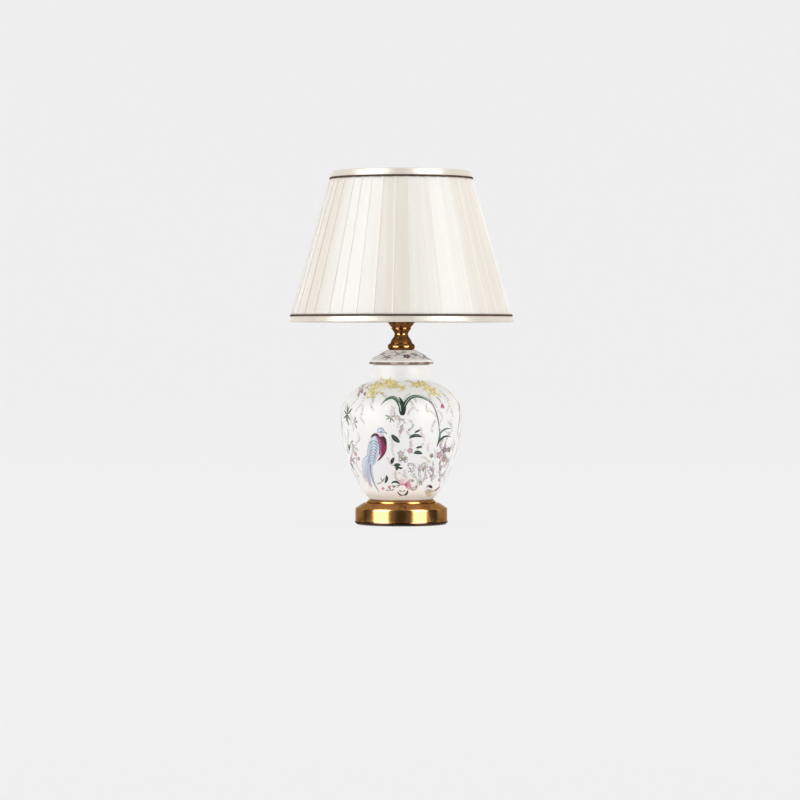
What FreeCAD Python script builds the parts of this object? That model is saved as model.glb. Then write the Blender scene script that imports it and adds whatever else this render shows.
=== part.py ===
import FreeCAD, Part
import math
import os

# Table lamp in millimetres: +Z up, front towards -Y, cord inlet at +Y,
# origin at the centre of the felt's lower face.

# Driving dimensions
SHADE_BOTTOM_R = 150.0
SHADE_TOP_R = 92.0
LAMP_TOP_Z = 469.4
SHADE_BOTTOM_Z = 268.3
VASE_BELLY_R = 80.2
DRUM_R = 61.2
PLEAT_COUNT = 40

# Heights of the stack, from the table up
LIP_Z = 2.0
PLATE_Z = 3.0
DRUM_TOP_Z = 21.4
SHOULDER_TOP_Z = 28.6
COLLAR_TOP_Z = 33.0
VASE_FOOT_Z = 33.6
VASE_TOP_Z = 212.0
LID_RIM_Z = 212.6
LID_TOP_Z = 231.5
BELL_Z = 240.3
WAIST_Z = 247.3
CUP_Z = 259.0
CUP_RIM_Z = 277.0

# Heights of the lampholder's pieces
DOME_IN_CUP = 9.8
DOME_H = 22.8
INSERT_T = 7.0
SEAT_UP = 3.5
SKIRT_H = 28.0
TIP_UP = 4.2
BULB_LENGTH = 100.0
DOME_Z = CUP_RIM_Z - DOME_IN_CUP
SKIRT_Z = DOME_Z + DOME_H
INSERT_Z = SKIRT_Z - INSERT_T
SEAT_Z = SKIRT_Z + SEAT_UP
BULB_TIP_Z = SKIRT_Z + TIP_UP

# Fits and clearances
OVERRUN = 2.0
TINY = 1e-6
BODY_GAP = 0.3
LOOSE_GAP = 0.3
THREAD_GAP = 0.05
ROD_HOLE_GAP = 0.3

# Shared sizes
INSET_COUNT = 24
ROD_R = 5.0
ROD_BORE_R = 3.4
ROD_HOLE_R = ROD_R + ROD_HOLE_GAP
SHELL_T = 1.2
LIP_OUT = 0.7
LIP_R = DRUM_R + LIP_OUT
SHOULDER_RUN = 11.2
SHOULDER_R = DRUM_R - SHOULDER_RUN
PLATE_T = 2.0
PLATE_TOP_Z = PLATE_Z + PLATE_T
ROOF_Z = SHOULDER_TOP_Z - SHELL_T
COLLAR_STEP = 4.2
COLLAR_R = SHOULDER_R - COLLAR_STEP
VASE_NECK_R = 38.0
VASE_WALL = 4.5
HOLDER_R = 19.6
FULL_TURN = 360.0

# Cord inlet at the back of the drum
GLAND_Z = 12.0
GLAND_BORE_R = 3.2
GLAND_BARREL_R = 4.4
GLAND_FLANGE_R = 6.8
GLAND_FLANGE_T = 1.6
GLAND_REACH = 9.2
GLAND_INNER_Y = DRUM_R - GLAND_REACH

# Weight and the wiring space below it
WEIGHT_IN = 4.2
WEIGHT_R = DRUM_R - WEIGHT_IN
WEIGHT_SIDE_Z = 18.0
WEIGHT_TOP_IN = 4.0
WEIGHT_TOP_R = SHOULDER_R - WEIGHT_TOP_IN
WIRING_R = 34.0
HUB_T = 5.0
HUB_Z = ROOF_Z - HUB_T
WASHER_T = 1.5
NUT_T = 5.0
ROD_TAIL = 1.5
ROD_BOTTOM_Z = HUB_Z - WASHER_T - NUT_T - ROD_TAIL
ROD_IN_DOME = 4.8
ROD_TOP_Z = DOME_Z + ROD_IN_DOME

# Shade build-up, as inward distances from the outer cone
CREST_IN = 0.2
VALLEY_IN = 1.9
COVER_IN = 2.4
LINER_IN = 2.6
LINER_T = 0.6
WIRE_R = 1.5
WIRE_IN = LINER_IN + LINER_T + CREST_IN + WIRE_R
BAND_T = 0.8
BAND_BACK_IN = WIRE_IN + WIRE_R + CREST_IN
BAND_BACK_T = 0.6
BOTTOM_BAND_H = 7.6
TOP_BAND_H = 8.7
PIPING_R = 1.1
PIPING_IN = 0.25

V = FreeCAD.Vector
ORIGIN = V(0, 0, 0)
UP = V(0, 0, 1)
BACK = V(0, 1, 0)


def save(shape, node):
    """Writes one node's solids."""
    shape.exportStep("parts/" + node + ".step")


def rounded_wire(corners, closed=True):
    """Lines and tangent arcs through corners, each a (point, rounding radius) pair."""
    count = len(corners)
    bends = []
    for i, (point, radius) in enumerate(corners):
        is_end = not closed and i in (0, count - 1)
        if is_end or not radius:
            bends.append((point, None, point))
            continue
        before = (corners[i - 1][0] - point).normalize()
        after = (corners[(i + 1) % count][0] - point).normalize()
        half = before.getAngle(after) / 2
        reach = radius / math.tan(half)
        middle = point + (before + after).normalize() * (radius / math.sin(half) - radius)
        bends.append((point + before * reach, middle, point + after * reach))
    edges = []
    for i, (start, middle, end) in enumerate(bends):
        if middle:
            edges.append(Part.Arc(start, middle, end).toShape())
        following = bends[(i + 1) % count][0]
        if (closed or i < count - 1) and end.distanceToPoint(following) > TINY:
            edges.append(Part.makeLine(end, following))
    return Part.Wire(edges)


def turn(wire):
    """Solid turned about the lamp's axis from a closed wire in the XZ plane."""
    solid = Part.Face(wire).revolve(ORIGIN, UP, FULL_TURN)
    if solid.Volume < 0:
        solid.reverse()
    return solid


def corner(given):
    """A (radius, height) or (radius, height, rounding) corner as a point and its rounding."""
    return V(given[0], 0, given[1]), (given + (0,))[2]


def turned(*corners):
    """Turned solid from the corners of its outline."""
    return turn(rounded_wire([corner(c) for c in corners]))


def smooth(points):
    """Smooth curve through (radius, height) points."""
    curve = Part.BSplineCurve()
    curve.interpolate([V(r, 0, z) for r, z in points])
    return curve


def inset(curve, depth):
    """Points along the inner side of a curve that runs upwards, at the given depth."""
    first, last = curve.FirstParameter, curve.LastParameter
    points = []
    for i in range(INSET_COUNT + 1):
        at = first + (last - first) * i / INSET_COUNT
        along = curve.tangent(at)[0]
        spot = curve.value(at)
        points.append((spot.x - along.z * depth, spot.z + along.x * depth))
    return points


def turned_wall(outer, inner, mouth=(), foot=()):
    """Wall between two smooth upward curves, by way of corners at its mouth and foot."""
    outside, inside = smooth(outer), smooth(inner)
    over = [(outside.EndPoint, 0)] + [corner(c) for c in mouth] + [(inside.EndPoint, 0)]
    under = [(inside.StartPoint, 0)] + [corner(c) for c in foot] + [(outside.StartPoint, 0)]
    edges = [outside.toShape(), inside.toShape()]
    edges += rounded_wire(over, closed=False).Edges + rounded_wire(under, closed=False).Edges
    return turn(Part.Wire(Part.__sortEdges__(edges)))


def disc(radius, z, height, hole=0):
    """Flat round plate with a round hole."""
    return turned((hole, z), (radius, z), (radius, z + height), (hole, z + height))


def rod(radius, start, end):
    """Round bar between two points."""
    return Part.makeCylinder(radius, start.distanceToPoint(end), start, end - start)


def box(low, high):
    """Block between two corners."""
    size = high - low
    return Part.makeBox(size.x, size.y, size.z, low)


def turned_point(point, angle):
    """Point turned about the axis by an angle in degrees."""
    return FreeCAD.Rotation(UP, angle).multVec(point)


def hexagon(flats, height, base, direction):
    """Six-sided prism, given by its width across flats."""
    side = flats / math.sqrt(3)
    corners = [V(side, 0, 0)]
    for i in range(6):
        corners.append(turned_point(corners[0], (i + 1) * FULL_TURN / 6))
    prism = Part.Face(Part.makePolygon(corners)).extrude(UP * height)
    prism.Placement = FreeCAD.Placement(base, FreeCAD.Rotation(UP, direction))
    return prism


def around(shape, count, start=0):
    """Copies of a shape spread evenly about the axis."""
    copies = []
    for i in range(count):
        copy = shape.copy()
        copy.rotate(ORIGIN, UP, start + i * FULL_TURN / count)
        copies.append(copy)
    return copies


def shade_radius(z, inward=0):
    """Radius of the shade's cone at a height, less an inward distance."""
    share = (z - SHADE_BOTTOM_Z) / (LAMP_TOP_Z - SHADE_BOTTOM_Z)
    return SHADE_BOTTOM_R + (SHADE_TOP_R - SHADE_BOTTOM_R) * share - inward


def cone_wall(outer_in, inner_in, low, high):
    """Conical sheet between two inward distances and two heights."""
    ring = [(shade_radius(low, outer_in), low), (shade_radius(high, outer_in), high)]
    ring += [(shade_radius(high, inner_in), high), (shade_radius(low, inner_in), low)]
    return turned(*ring)


# Base

def felt_pad():
    """Felt disc, set into the rim of the base and standing proud of it."""
    edge_round = 0.6
    felt_r = DRUM_R - SHELL_T - LOOSE_GAP
    return turned((0, 0), (felt_r, 0, edge_round), (felt_r, PLATE_Z), (0, PLATE_Z))


SCREW_IN = 11.5
SCREW_CIRCLE_R = WEIGHT_R - SCREW_IN
SCREW_COUNT = 3
SCREW_START = 30.0
SCREW_R = 1.5
SCREW_HEAD_R = 2.9
SCREW_HEAD_T = 1.5
SCREW_LENGTH = 10.0


def countersunk_screw(gap=0):
    """Countersunk screw from below, or its hole when given a gap."""
    head_r, shank_r = SCREW_HEAD_R + gap, SCREW_R + gap
    top = PLATE_Z + SCREW_LENGTH + gap
    outline = [(0, PLATE_Z), (head_r, PLATE_Z), (shank_r, PLATE_Z + SCREW_HEAD_T)]
    screw = turned(*outline, (shank_r, top), (0, top))
    screw.translate(V(SCREW_CIRCLE_R, 0, 0))
    return screw


def bottom_plate():
    """Steel plate that closes the base from below."""
    plate = disc(DRUM_R - SHELL_T - LOOSE_GAP, PLATE_Z, PLATE_T)
    return plate.cut(Part.Compound(around(countersunk_screw(THREAD_GAP), SCREW_COUNT, SCREW_START)))


def plate_screws():
    """Three screws that hold the plate to the weight; each has a cross recess."""
    slot_half, slot_depth, slot_reach = 0.4, 0.9, 1.9
    middle = V(SCREW_CIRCLE_R, 0, PLATE_Z)
    screw = countersunk_screw()
    for reach_x, reach_y in ((slot_reach, slot_half), (slot_half, slot_reach)):
        low = middle + V(-reach_x, -reach_y, -OVERRUN)
        screw = screw.cut(box(low, middle + V(reach_x, reach_y, slot_depth)))
    return Part.Compound(around(screw, SCREW_COUNT, SCREW_START))


def base_weight():
    """Iron casting under the roof of the base, hollow below for the wiring."""
    foot = (WEIGHT_R, PLATE_TOP_Z)
    casting = turned((WIRING_R, PLATE_TOP_Z), foot, (WEIGHT_R, WEIGHT_SIDE_Z),
                     (WEIGHT_TOP_R, ROOF_Z), (ROD_HOLE_R, ROOF_Z), (ROD_HOLE_R, HUB_Z),
                     (WIRING_R, HUB_Z))
    slot_half, slot_top = 8.5, 19.5
    slot = box(V(-slot_half, 0, PLATE_TOP_Z - OVERRUN), V(slot_half, DRUM_R, slot_top))
    holes = around(countersunk_screw(THREAD_GAP), SCREW_COUNT, SCREW_START)
    return casting.cut(Part.Compound([slot] + holes))


def base_shell():
    """Spun drum with a rim band, a rounded edge and a sloped shoulder."""
    lip_h, lip_round, edge_round, neck_round = 2.4, 0.6, 1.4, 0.9
    run, rise = DRUM_R - SHOULDER_R, SHOULDER_TOP_Z - DRUM_TOP_Z
    slant = math.hypot(run, rise)
    inner_r = DRUM_R - SHELL_T
    inner_edge_z = DRUM_TOP_Z - SHELL_T * (slant - rise) / run
    inner_roof_r = SHOULDER_R - SHELL_T * (slant - run) / rise
    shell = turned((inner_r, LIP_Z), (LIP_R, LIP_Z, lip_round), (LIP_R, LIP_Z + lip_h, lip_round),
                   (DRUM_R, LIP_Z + lip_h), (DRUM_R, DRUM_TOP_Z, edge_round),
                   (SHOULDER_R, SHOULDER_TOP_Z, neck_round), (ROD_HOLE_R, SHOULDER_TOP_Z),
                   (ROD_HOLE_R, ROOF_Z), (inner_roof_r, ROOF_Z), (inner_r, inner_edge_z))
    inlet = rod(GLAND_BARREL_R + THREAD_GAP, V(0, GLAND_INNER_Y, GLAND_Z), V(0, LIP_R + OVERRUN, GLAND_Z))
    return shell.cut(inlet)


def base_collar():
    """Spun ring cap that carries the vase's foot."""
    mid_z, top_step, top_round, mid_round = 30.3, 2.9, 0.6, 0.7
    top_r = COLLAR_R - top_step
    roof = COLLAR_TOP_Z - SHELL_T
    return turned((COLLAR_R - SHELL_T, SHOULDER_TOP_Z), (COLLAR_R, SHOULDER_TOP_Z),
                  (COLLAR_R, mid_z, mid_round), (top_r, COLLAR_TOP_Z, top_round),
                  (ROD_HOLE_R, COLLAR_TOP_Z), (ROD_HOLE_R, roof), (top_r - SHELL_T, roof),
                  (COLLAR_R - SHELL_T, mid_z - SHELL_T))


# Cord inlet

def cord_gland():
    """Flanged sleeve for the cord, through the back of the drum."""
    face_y = DRUM_R + THREAD_GAP
    barrel = rod(GLAND_BARREL_R, V(0, GLAND_INNER_Y, GLAND_Z), V(0, face_y, GLAND_Z))
    flange = rod(GLAND_FLANGE_R, V(0, face_y, GLAND_Z), V(0, face_y + GLAND_FLANGE_T, GLAND_Z))
    start = V(0, GLAND_INNER_Y - OVERRUN, GLAND_Z)
    bore = rod(GLAND_BORE_R, start, V(0, face_y + GLAND_FLANGE_T + OVERRUN, GLAND_Z))
    return barrel.fuse(flange).removeSplitter().cut(bore)


def gland_nut():
    """Nut that clamps the sleeve from inside the drum."""
    flats, thickness = 11.4, 3.0
    start = V(0, DRUM_R - SHELL_T - LOOSE_GAP * 2 - thickness, GLAND_Z)
    hole = rod(GLAND_BARREL_R + THREAD_GAP, start - BACK * OVERRUN, start + BACK * (thickness + OVERRUN))
    return hexagon(flats, thickness, start, BACK).cut(hole)


BLOCK_Y = 22.0
BLOCK_HALF_W = 9.0
BLOCK_HALF_D = 6.0
BLOCK_HALF = V(BLOCK_HALF_W, BLOCK_HALF_D, 0)
BLOCK_H = 9.0
POLE_X = 4.2
POLE_BORE_R = 1.3
CLAMP_SCREW_R = 1.4
CLAMP_SCREW_Y = 3.2
WIRE_HOLE_UP = 4.0
WIRE_HOLE_Z = PLATE_TOP_Z + WIRE_HOLE_UP


def terminal_block():
    """Two-pole block on the plate, with wire holes and screw wells."""
    middle = V(0, BLOCK_Y, PLATE_TOP_Z)
    block = box(middle - BLOCK_HALF, middle + BLOCK_HALF + UP * BLOCK_H)
    cuts = []
    for x in (-POLE_X, POLE_X):
        front = V(x, BLOCK_Y - BLOCK_HALF.y - OVERRUN, WIRE_HOLE_Z)
        cuts.append(rod(POLE_BORE_R, front, V(x, BLOCK_Y + BLOCK_HALF.y + OVERRUN, WIRE_HOLE_Z)))
        for y in (-CLAMP_SCREW_Y, CLAMP_SCREW_Y):
            low = V(x, BLOCK_Y + y, WIRE_HOLE_Z)
            cuts.append(rod(CLAMP_SCREW_R + THREAD_GAP, low, low + UP * BLOCK_H))
    return block.cut(Part.Compound(cuts))


def terminal_screws():
    """Four slotted clamp screws of the terminal block."""
    slot_half, slot_depth, length = 0.3, 0.8, 3.0
    bottom = WIRE_HOLE_Z + POLE_BORE_R
    screws = []
    for x in (-POLE_X, POLE_X):
        for y in (-CLAMP_SCREW_Y, CLAMP_SCREW_Y):
            low = V(x, BLOCK_Y + y, bottom)
            slot_low = low + V(-CLAMP_SCREW_R, -slot_half, length - slot_depth)
            slot = box(slot_low, low + V(CLAMP_SCREW_R, slot_half, length + OVERRUN))
            screws.append(rod(CLAMP_SCREW_R, low, low + UP * length).cut(slot))
    return Part.Compound(screws)


CORE_R = 1.05
CORE_X = 1.3
CORE_BEND = 4.0
JOG_BEND = 2.6
HOLDER_POLE_X = 9.0


def inner_wires():
    """Two cores from the terminal block up through the rod to the lampholder."""
    jog_y, fan_y, fan_up, pole_down = 13.0, 7.0, 3.0, 3.5
    fan_z, pole_z = ROD_TOP_Z + fan_up, INSERT_Z - pole_down
    cores = []
    for side in (-1, 1):
        x, pole, far = side * CORE_X, side * POLE_X, side * HOLDER_POLE_X
        points = [V(pole, BLOCK_Y - BLOCK_HALF.y + OVERRUN, WIRE_HOLE_Z), V(pole, jog_y, WIRE_HOLE_Z)]
        points += [V(x, fan_y, WIRE_HOLE_Z), V(x, 0, WIRE_HOLE_Z), V(x, 0, fan_z)]
        points += [V(far, 0, pole_z), V(far, 0, INSERT_Z - THREAD_GAP)]
        bends = [0, JOG_BEND, JOG_BEND, CORE_BEND, JOG_BEND, JOG_BEND, 0]
        path = rounded_wire(list(zip(points, bends)), closed=False)
        circle = Part.makeCircle(CORE_R, points[0], BACK)
        cores.append(path.makePipeShell([Part.Wire(circle)], True, False))
    return Part.Compound(cores)


# Rod and its lower fastening

def threaded_rod():
    """Hollow tie rod through the whole stem."""
    return disc(ROD_R, ROD_BOTTOM_Z, ROD_TOP_Z - ROD_BOTTOM_Z, ROD_BORE_R)


def rod_nut(low, height):
    """Six-sided nut on the rod."""
    flats = 14.0
    hole = rod(ROD_R + THREAD_GAP, V(0, 0, low - OVERRUN), V(0, 0, low + height + OVERRUN))
    return hexagon(flats, height, V(0, 0, low), UP).cut(hole)


def rod_washer():
    """Washer between the lower nut and the weight."""
    washer_r = 11.0
    return disc(washer_r, HUB_Z - WASHER_T, WASHER_T, ROD_R + THREAD_GAP)


# Vase and lid

VASE_FLOOR_T = 7.0
VASE_SHARES = [(0.526, 0.0), (0.656, 0.07), (0.753, 0.15), (0.868, 0.26), (0.951, 0.38),
               (1.0, 0.585), (0.969, 0.695), (0.801, 0.80), (0.648, 0.851), (0.51, 0.884),
               (0.481, 0.93)]


def vase_body():
    """Hollow ginger-jar vase with a holed floor and an open neck."""
    mouth_round = 1.6
    height = VASE_TOP_Z - VASE_FOOT_Z
    outer = [(VASE_BELLY_R * r, VASE_FOOT_Z + height * z) for r, z in VASE_SHARES]
    floor_z = VASE_FOOT_Z + VASE_FLOOR_T
    inner = [p for p in inset(smooth(outer), VASE_WALL) if p[1] > floor_z]
    mouth = [(VASE_NECK_R, VASE_TOP_Z, mouth_round), (VASE_NECK_R - VASE_WALL, VASE_TOP_Z, mouth_round)]
    foot = [(inner[0][0], floor_z), (ROD_HOLE_R, floor_z), (ROD_HOLE_R, VASE_FOOT_Z)]
    return turned_wall(outer, inner, mouth, foot)


def vase_seal():
    """Cork ring between the collar and the vase's foot."""
    edge_step, seal_w = 4.6, 11.2
    seal_out = COLLAR_R - edge_step
    return disc(seal_out, COLLAR_TOP_Z, VASE_FOOT_Z - COLLAR_TOP_Z, seal_out - seal_w)


def lid_seal():
    """Cork ring between the vase's mouth and the lid."""
    edge_step, seal_w = 1.6, 2.0
    seal_out = VASE_NECK_R - edge_step
    return disc(seal_out, VASE_TOP_Z, LID_RIM_Z - VASE_TOP_Z, seal_out - seal_w)


def vase_lid():
    """Conical lid with a rounded rim and a skirt inside the neck."""
    rim_r, rim_h, rim_round, top_r, top_round = 42.6, 5.0, 1.6, 19.6, 0.8
    skirt_r, skirt_t, skirt_h, roof_t = 33.0, 3.4, 7.0, 4.6
    inner_r = skirt_r - skirt_t
    return turned((inner_r, LID_RIM_Z - skirt_h), (skirt_r, LID_RIM_Z - skirt_h),
                  (skirt_r, LID_RIM_Z), (rim_r, LID_RIM_Z, rim_round),
                  (rim_r, LID_RIM_Z + rim_h, rim_round), (top_r, LID_TOP_Z, top_round),
                  (ROD_HOLE_R, LID_TOP_Z), (ROD_HOLE_R, LID_TOP_Z - roof_t),
                  (top_r - roof_t, LID_TOP_Z - roof_t), (inner_r, LID_RIM_Z))


# Brass neck

def spindle_piece(profile):
    """Turned brass piece with a rod hole, from the (radius, height) points of its side."""
    curve = smooth(profile)
    low, high = profile[0][1], profile[-1][1]
    edges = [curve.toShape(), Part.makeLine(curve.EndPoint, V(ROD_HOLE_R, 0, high))]
    edges += [Part.makeLine(V(ROD_HOLE_R, 0, high), V(ROD_HOLE_R, 0, low))]
    edges += [Part.makeLine(V(ROD_HOLE_R, 0, low), curve.StartPoint)]
    return turn(Part.Wire(edges))


def neck_ring():
    """Beaded ring that sits on the lid."""
    foot_r, bead_r, top_r, foot_share, bead_share, top_share = 15.8, 18.2, 15.3, 0.22, 0.5, 0.8
    height = BELL_Z - LID_TOP_Z
    low_z, bead_z, high_z = (LID_TOP_Z + height * s for s in (foot_share, bead_share, top_share))
    side_r = (foot_r + bead_r * 2) / 3
    return spindle_piece([(foot_r, LID_TOP_Z), (side_r, low_z), (bead_r, bead_z),
                          (side_r, high_z), (top_r, BELL_Z)])


def neck_bell():
    """Bell between the ring and the waist."""
    foot_r, mid_r, top_r = 14.8, 13.5, 11.5
    return spindle_piece([(foot_r, BELL_Z), (mid_r, (BELL_Z + WAIST_Z) / 2), (top_r, WAIST_Z)])


def neck_waist():
    """Waisted spindle that flares up to the cup."""
    foot_r, waist_r, flare_r, top_r, waist_share, flare_share = 11.2, 9.7, 10.6, 13.0, 0.4, 0.68
    height = CUP_Z - WAIST_Z
    return spindle_piece([(foot_r, WAIST_Z), (waist_r, WAIST_Z + height * waist_share),
                          (flare_r, WAIST_Z + height * flare_share), (top_r, CUP_Z)])


CUP_RING_H = 2.3
CUP_FLOOR_T = 1.4
CUP_RIM_R = 21.4
CUP_SHARES = [(0.626, 0.0), (0.738, 0.22), (0.869, 0.5), (0.963, 0.8), (1.0, 1.0)]


def holder_cup():
    """Spun cup around the foot of the lampholder, with a ring at its base."""
    ring_r = 13.3
    low = CUP_Z + CUP_RING_H
    outer = [(CUP_RIM_R * r, low + (CUP_RIM_Z - low) * z) for r, z in CUP_SHARES]
    floor = disc(ring_r, CUP_Z, CUP_RING_H + CUP_FLOOR_T, ROD_HOLE_R)
    cup = turned_wall(outer, inset(smooth(outer), SHELL_T))
    return cup.fuse(floor).removeSplitter()


# Lampholder

def holder_nut():
    """Nut in the cup that clamps the whole stem."""
    nut_t = 3.6
    return rod_nut(CUP_Z + CUP_RING_H + CUP_FLOOR_T, nut_t)


LOCK_UP = 3.0
LOCK_Z = DOME_Z + LOCK_UP
LOCK_R = 1.5


def lampholder_dome():
    """Lower part of the lampholder, screwed on the rod."""
    neck_r, neck_h, flare_h, wall, edge_round, foot_round = 9.0, 6.8, 12.8, 2.2, 3.0, 0.8
    neck_top, flare_z = DOME_Z + neck_h, DOME_Z + flare_h
    inner_r, thread_r = HOLDER_R - wall, ROD_R + THREAD_GAP
    shoulder_r = 14.0
    dome = turned((thread_r, DOME_Z), (neck_r, DOME_Z, foot_round), (shoulder_r, DOME_Z + wall),
                  (HOLDER_R - wall, flare_z - wall, edge_round), (HOLDER_R, flare_z + wall),
                  (HOLDER_R, SKIRT_Z), (inner_r, SKIRT_Z), (inner_r, flare_z),
                  (shoulder_r - wall, neck_top), (thread_r, neck_top))
    lock = rod(LOCK_R + THREAD_GAP, V(ROD_R, 0, LOCK_Z), V(HOLDER_R, 0, LOCK_Z))
    return dome.cut(lock)


def lock_screw():
    """Grub screw that locks the lampholder on the rod."""
    length, slot_half, slot_depth = 5.0, 0.3, 0.8
    start = V(ROD_R + THREAD_GAP, 0, LOCK_Z)
    end = start + V(length, 0, 0)
    slot = box(end + V(-slot_depth, -slot_half, -OVERRUN), end + V(OVERRUN, slot_half, OVERRUN))
    return rod(LOCK_R, start, end).cut(slot)


INSERT_R = 17.0


def lampholder_insert():
    """Ceramic block that carries the contacts, with a hole under each."""
    block = disc(INSERT_R, INSERT_Z, SKIRT_Z - INSERT_Z)
    holes = []
    for x in (-HOLDER_POLE_X, HOLDER_POLE_X):
        low = V(x, 0, INSERT_Z - OVERRUN)
        holes.append(rod(POLE_BORE_R, low, V(x, 0, SKIRT_Z + OVERRUN)))
    return block.cut(Part.Compound(holes))


SOCKET_R = 13.45


def lampholder_shell():
    """Brass screw shell of the lampholder, with a foot on the insert."""
    wall, foot_r, foot_t, top_in = 0.5, 10.6, 0.6, 1.0
    top_z = SKIRT_Z + SKIRT_H - top_in
    return turned((foot_r, SKIRT_Z), (SOCKET_R + wall, SKIRT_Z), (SOCKET_R + wall, top_z),
                  (SOCKET_R, top_z), (SOCKET_R, SKIRT_Z + foot_t),
                  (foot_r, SKIRT_Z + foot_t))


def lampholder_contact():
    """Sprung centre contact: a strip that rises from the insert under the bulb's tip."""
    strip_t, half_w, foot_x, rise_x, tip_x = 0.5, 2.2, 8.0, 5.0, 2.4
    tip_z = BULB_TIP_Z - BODY_GAP
    top_line = [V(foot_x, 0, SKIRT_Z + strip_t), V(rise_x, 0, SKIRT_Z + strip_t),
                V(tip_x, 0, tip_z), V(-tip_x, 0, tip_z)]
    low_line = [p - UP * strip_t for p in reversed(top_line)]
    face = Part.Face(Part.makePolygon(top_line + low_line + top_line[:1]))
    face.translate(-BACK * half_w)
    return face.extrude(BACK * half_w * 2)


def lampholder_skirt():
    """Outer skirt of the lampholder with the seat for the shade's ring."""
    bore_r, seat_r, seat_t, seat_round, top_round = 14.3, 24.0, 2.0, 0.6, 1.0
    return turned((bore_r, SKIRT_Z), (HOLDER_R, SKIRT_Z),
                  (HOLDER_R, SEAT_Z - seat_t), (seat_r, SEAT_Z - seat_t, seat_round),
                  (seat_r, SEAT_Z, seat_round), (HOLDER_R, SEAT_Z),
                  (HOLDER_R, SKIRT_Z + SKIRT_H, top_round), (bore_r, SKIRT_Z + SKIRT_H, top_round))


# Shade frame and its ring

CARRIER_T = 2.0
CARRIER_Z = SEAT_Z + BODY_GAP
CARRIER_IN_R = 21.0
CARRIER_R = 26.0
ARM_COUNT = 3
ARM_START = 90.0


def shade_ring():
    """Threaded ring that clamps the shade, with finger grooves around it."""
    ring_h, edge_round, groove_count, groove_r = 8.0, 0.8, 30, 0.9
    inner_r = HOLDER_R + BODY_GAP
    low = CARRIER_Z + CARRIER_T + BODY_GAP
    ring = turned((inner_r, low), (CARRIER_R, low, edge_round), (CARRIER_R, low + ring_h, edge_round),
                  (inner_r, low + ring_h))
    groove_low = V(CARRIER_R + groove_r / 2, 0, low + BAND_T)
    groove = rod(groove_r, groove_low, groove_low + UP * (ring_h - BAND_T * 2))
    return ring.cut(Part.Compound(around(groove, groove_count)))


WIRE_Z = SHADE_BOTTOM_Z + BAND_BACK_T + CREST_IN + WIRE_R


def carrier_arms(radius):
    """Round arms that slope from the clamped ring down to the lower edge."""
    level_r = 40.0
    arm_z = CARRIER_Z + CARRIER_T - WIRE_R
    bend = V(level_r, 0, arm_z)
    arm = rod(radius, V(CARRIER_R - WIRE_R, 0, arm_z), bend)
    slope = rod(radius, bend, V(shade_radius(WIRE_Z, WIRE_IN), 0, WIRE_Z))
    arm = arm.fuse([Part.makeSphere(radius, bend), slope])
    return around(arm, ARM_COUNT, ARM_START)


def shade_carrier():
    """Welded frame: clamped ring, three arms and the wire ring of the lower edge."""
    hub = disc(CARRIER_R, CARRIER_Z, CARRIER_T, CARRIER_IN_R)
    wire_ring = Part.makeTorus(shade_radius(WIRE_Z, WIRE_IN), WIRE_R, V(0, 0, WIRE_Z))
    return wire_ring.fuse([hub] + carrier_arms(WIRE_R)).removeSplitter()


def shade_top_wire():
    """Wire ring of the shade's upper edge."""
    wire_z = LAMP_TOP_Z - BAND_BACK_T - CREST_IN - WIRE_R
    return Part.makeTorus(shade_radius(wire_z, WIRE_IN), WIRE_R, V(0, 0, wire_z))


# Shade

def shade_liner():
    """Stiff conical lining that carries the cover."""
    edge = BAND_BACK_T + CREST_IN
    return cone_wall(LINER_IN, LINER_IN + LINER_T, SHADE_BOTTOM_Z + edge, LAMP_TOP_Z - edge)


PIPING_BOTTOM_Z = SHADE_BOTTOM_Z + BOTTOM_BAND_H + CREST_IN + PIPING_R
PIPING_TOP_Z = LAMP_TOP_Z - TOP_BAND_H - CREST_IN - PIPING_R


def pleat_wire(z):
    """Saw-tooth ring of knife pleats at one height."""
    fold_share = 0.07
    pitch = FULL_TURN / PLEAT_COUNT
    points = []
    for i in range(PLEAT_COUNT):
        for inward, share in ((VALLEY_IN, 0), (CREST_IN, 1 - fold_share)):
            spot = V(shade_radius(z, inward), 0, z)
            points.append(turned_point(spot, (i + share) * pitch))
    return Part.makePolygon(points + points[:1])


def back_wire(z):
    """Regular many-sided ring behind the pleats at one height."""
    sides_per_pleat = 3
    sides = sides_per_pleat * PLEAT_COUNT
    spot = V(shade_radius(z, COVER_IN), 0, z)
    points = [turned_point(spot, i * FULL_TURN / sides) for i in range(sides)]
    return Part.makePolygon(points + points[:1])


def shade_cover():
    """Pleated cloth between the two pipings, closed behind by flat facets of its cone."""
    low = PIPING_BOTTOM_Z + PIPING_R + CREST_IN
    high = PIPING_TOP_Z - PIPING_R - CREST_IN
    pleats = Part.makeLoft([pleat_wire(low), pleat_wire(high)], True, True)
    core = Part.makeLoft([back_wire(low - OVERRUN), back_wire(high + OVERRUN)], True, True)
    return pleats.cut(core)


def shade_band(edge_z, height, side):
    """Satin band folded over an edge; side is 1 at the lower edge and -1 at the upper."""
    fold_z, hem_z = edge_z + side * BAND_BACK_T, edge_z + side * height
    back_in = BAND_BACK_IN + BAND_BACK_T
    path = [(0, edge_z), (0, hem_z), (BAND_T, hem_z), (BAND_T, fold_z)]
    path += [(BAND_BACK_IN, fold_z), (BAND_BACK_IN, hem_z), (back_in, hem_z), (back_in, edge_z)]
    return turned(*[(shade_radius(z, inward), z) for inward, z in path])


def shade_bottom_band():
    """Lower band, notched where the arms pass through its back."""
    band = shade_band(SHADE_BOTTOM_Z, BOTTOM_BAND_H, 1)
    return band.cut(Part.Compound(carrier_arms(WIRE_R + LOOSE_GAP)))


def piping(z):
    """Round corded piping at the inner edge of a band."""
    return Part.makeTorus(shade_radius(z, PIPING_IN + PIPING_R), PIPING_R, V(0, 0, z))


# Bulb

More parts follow.
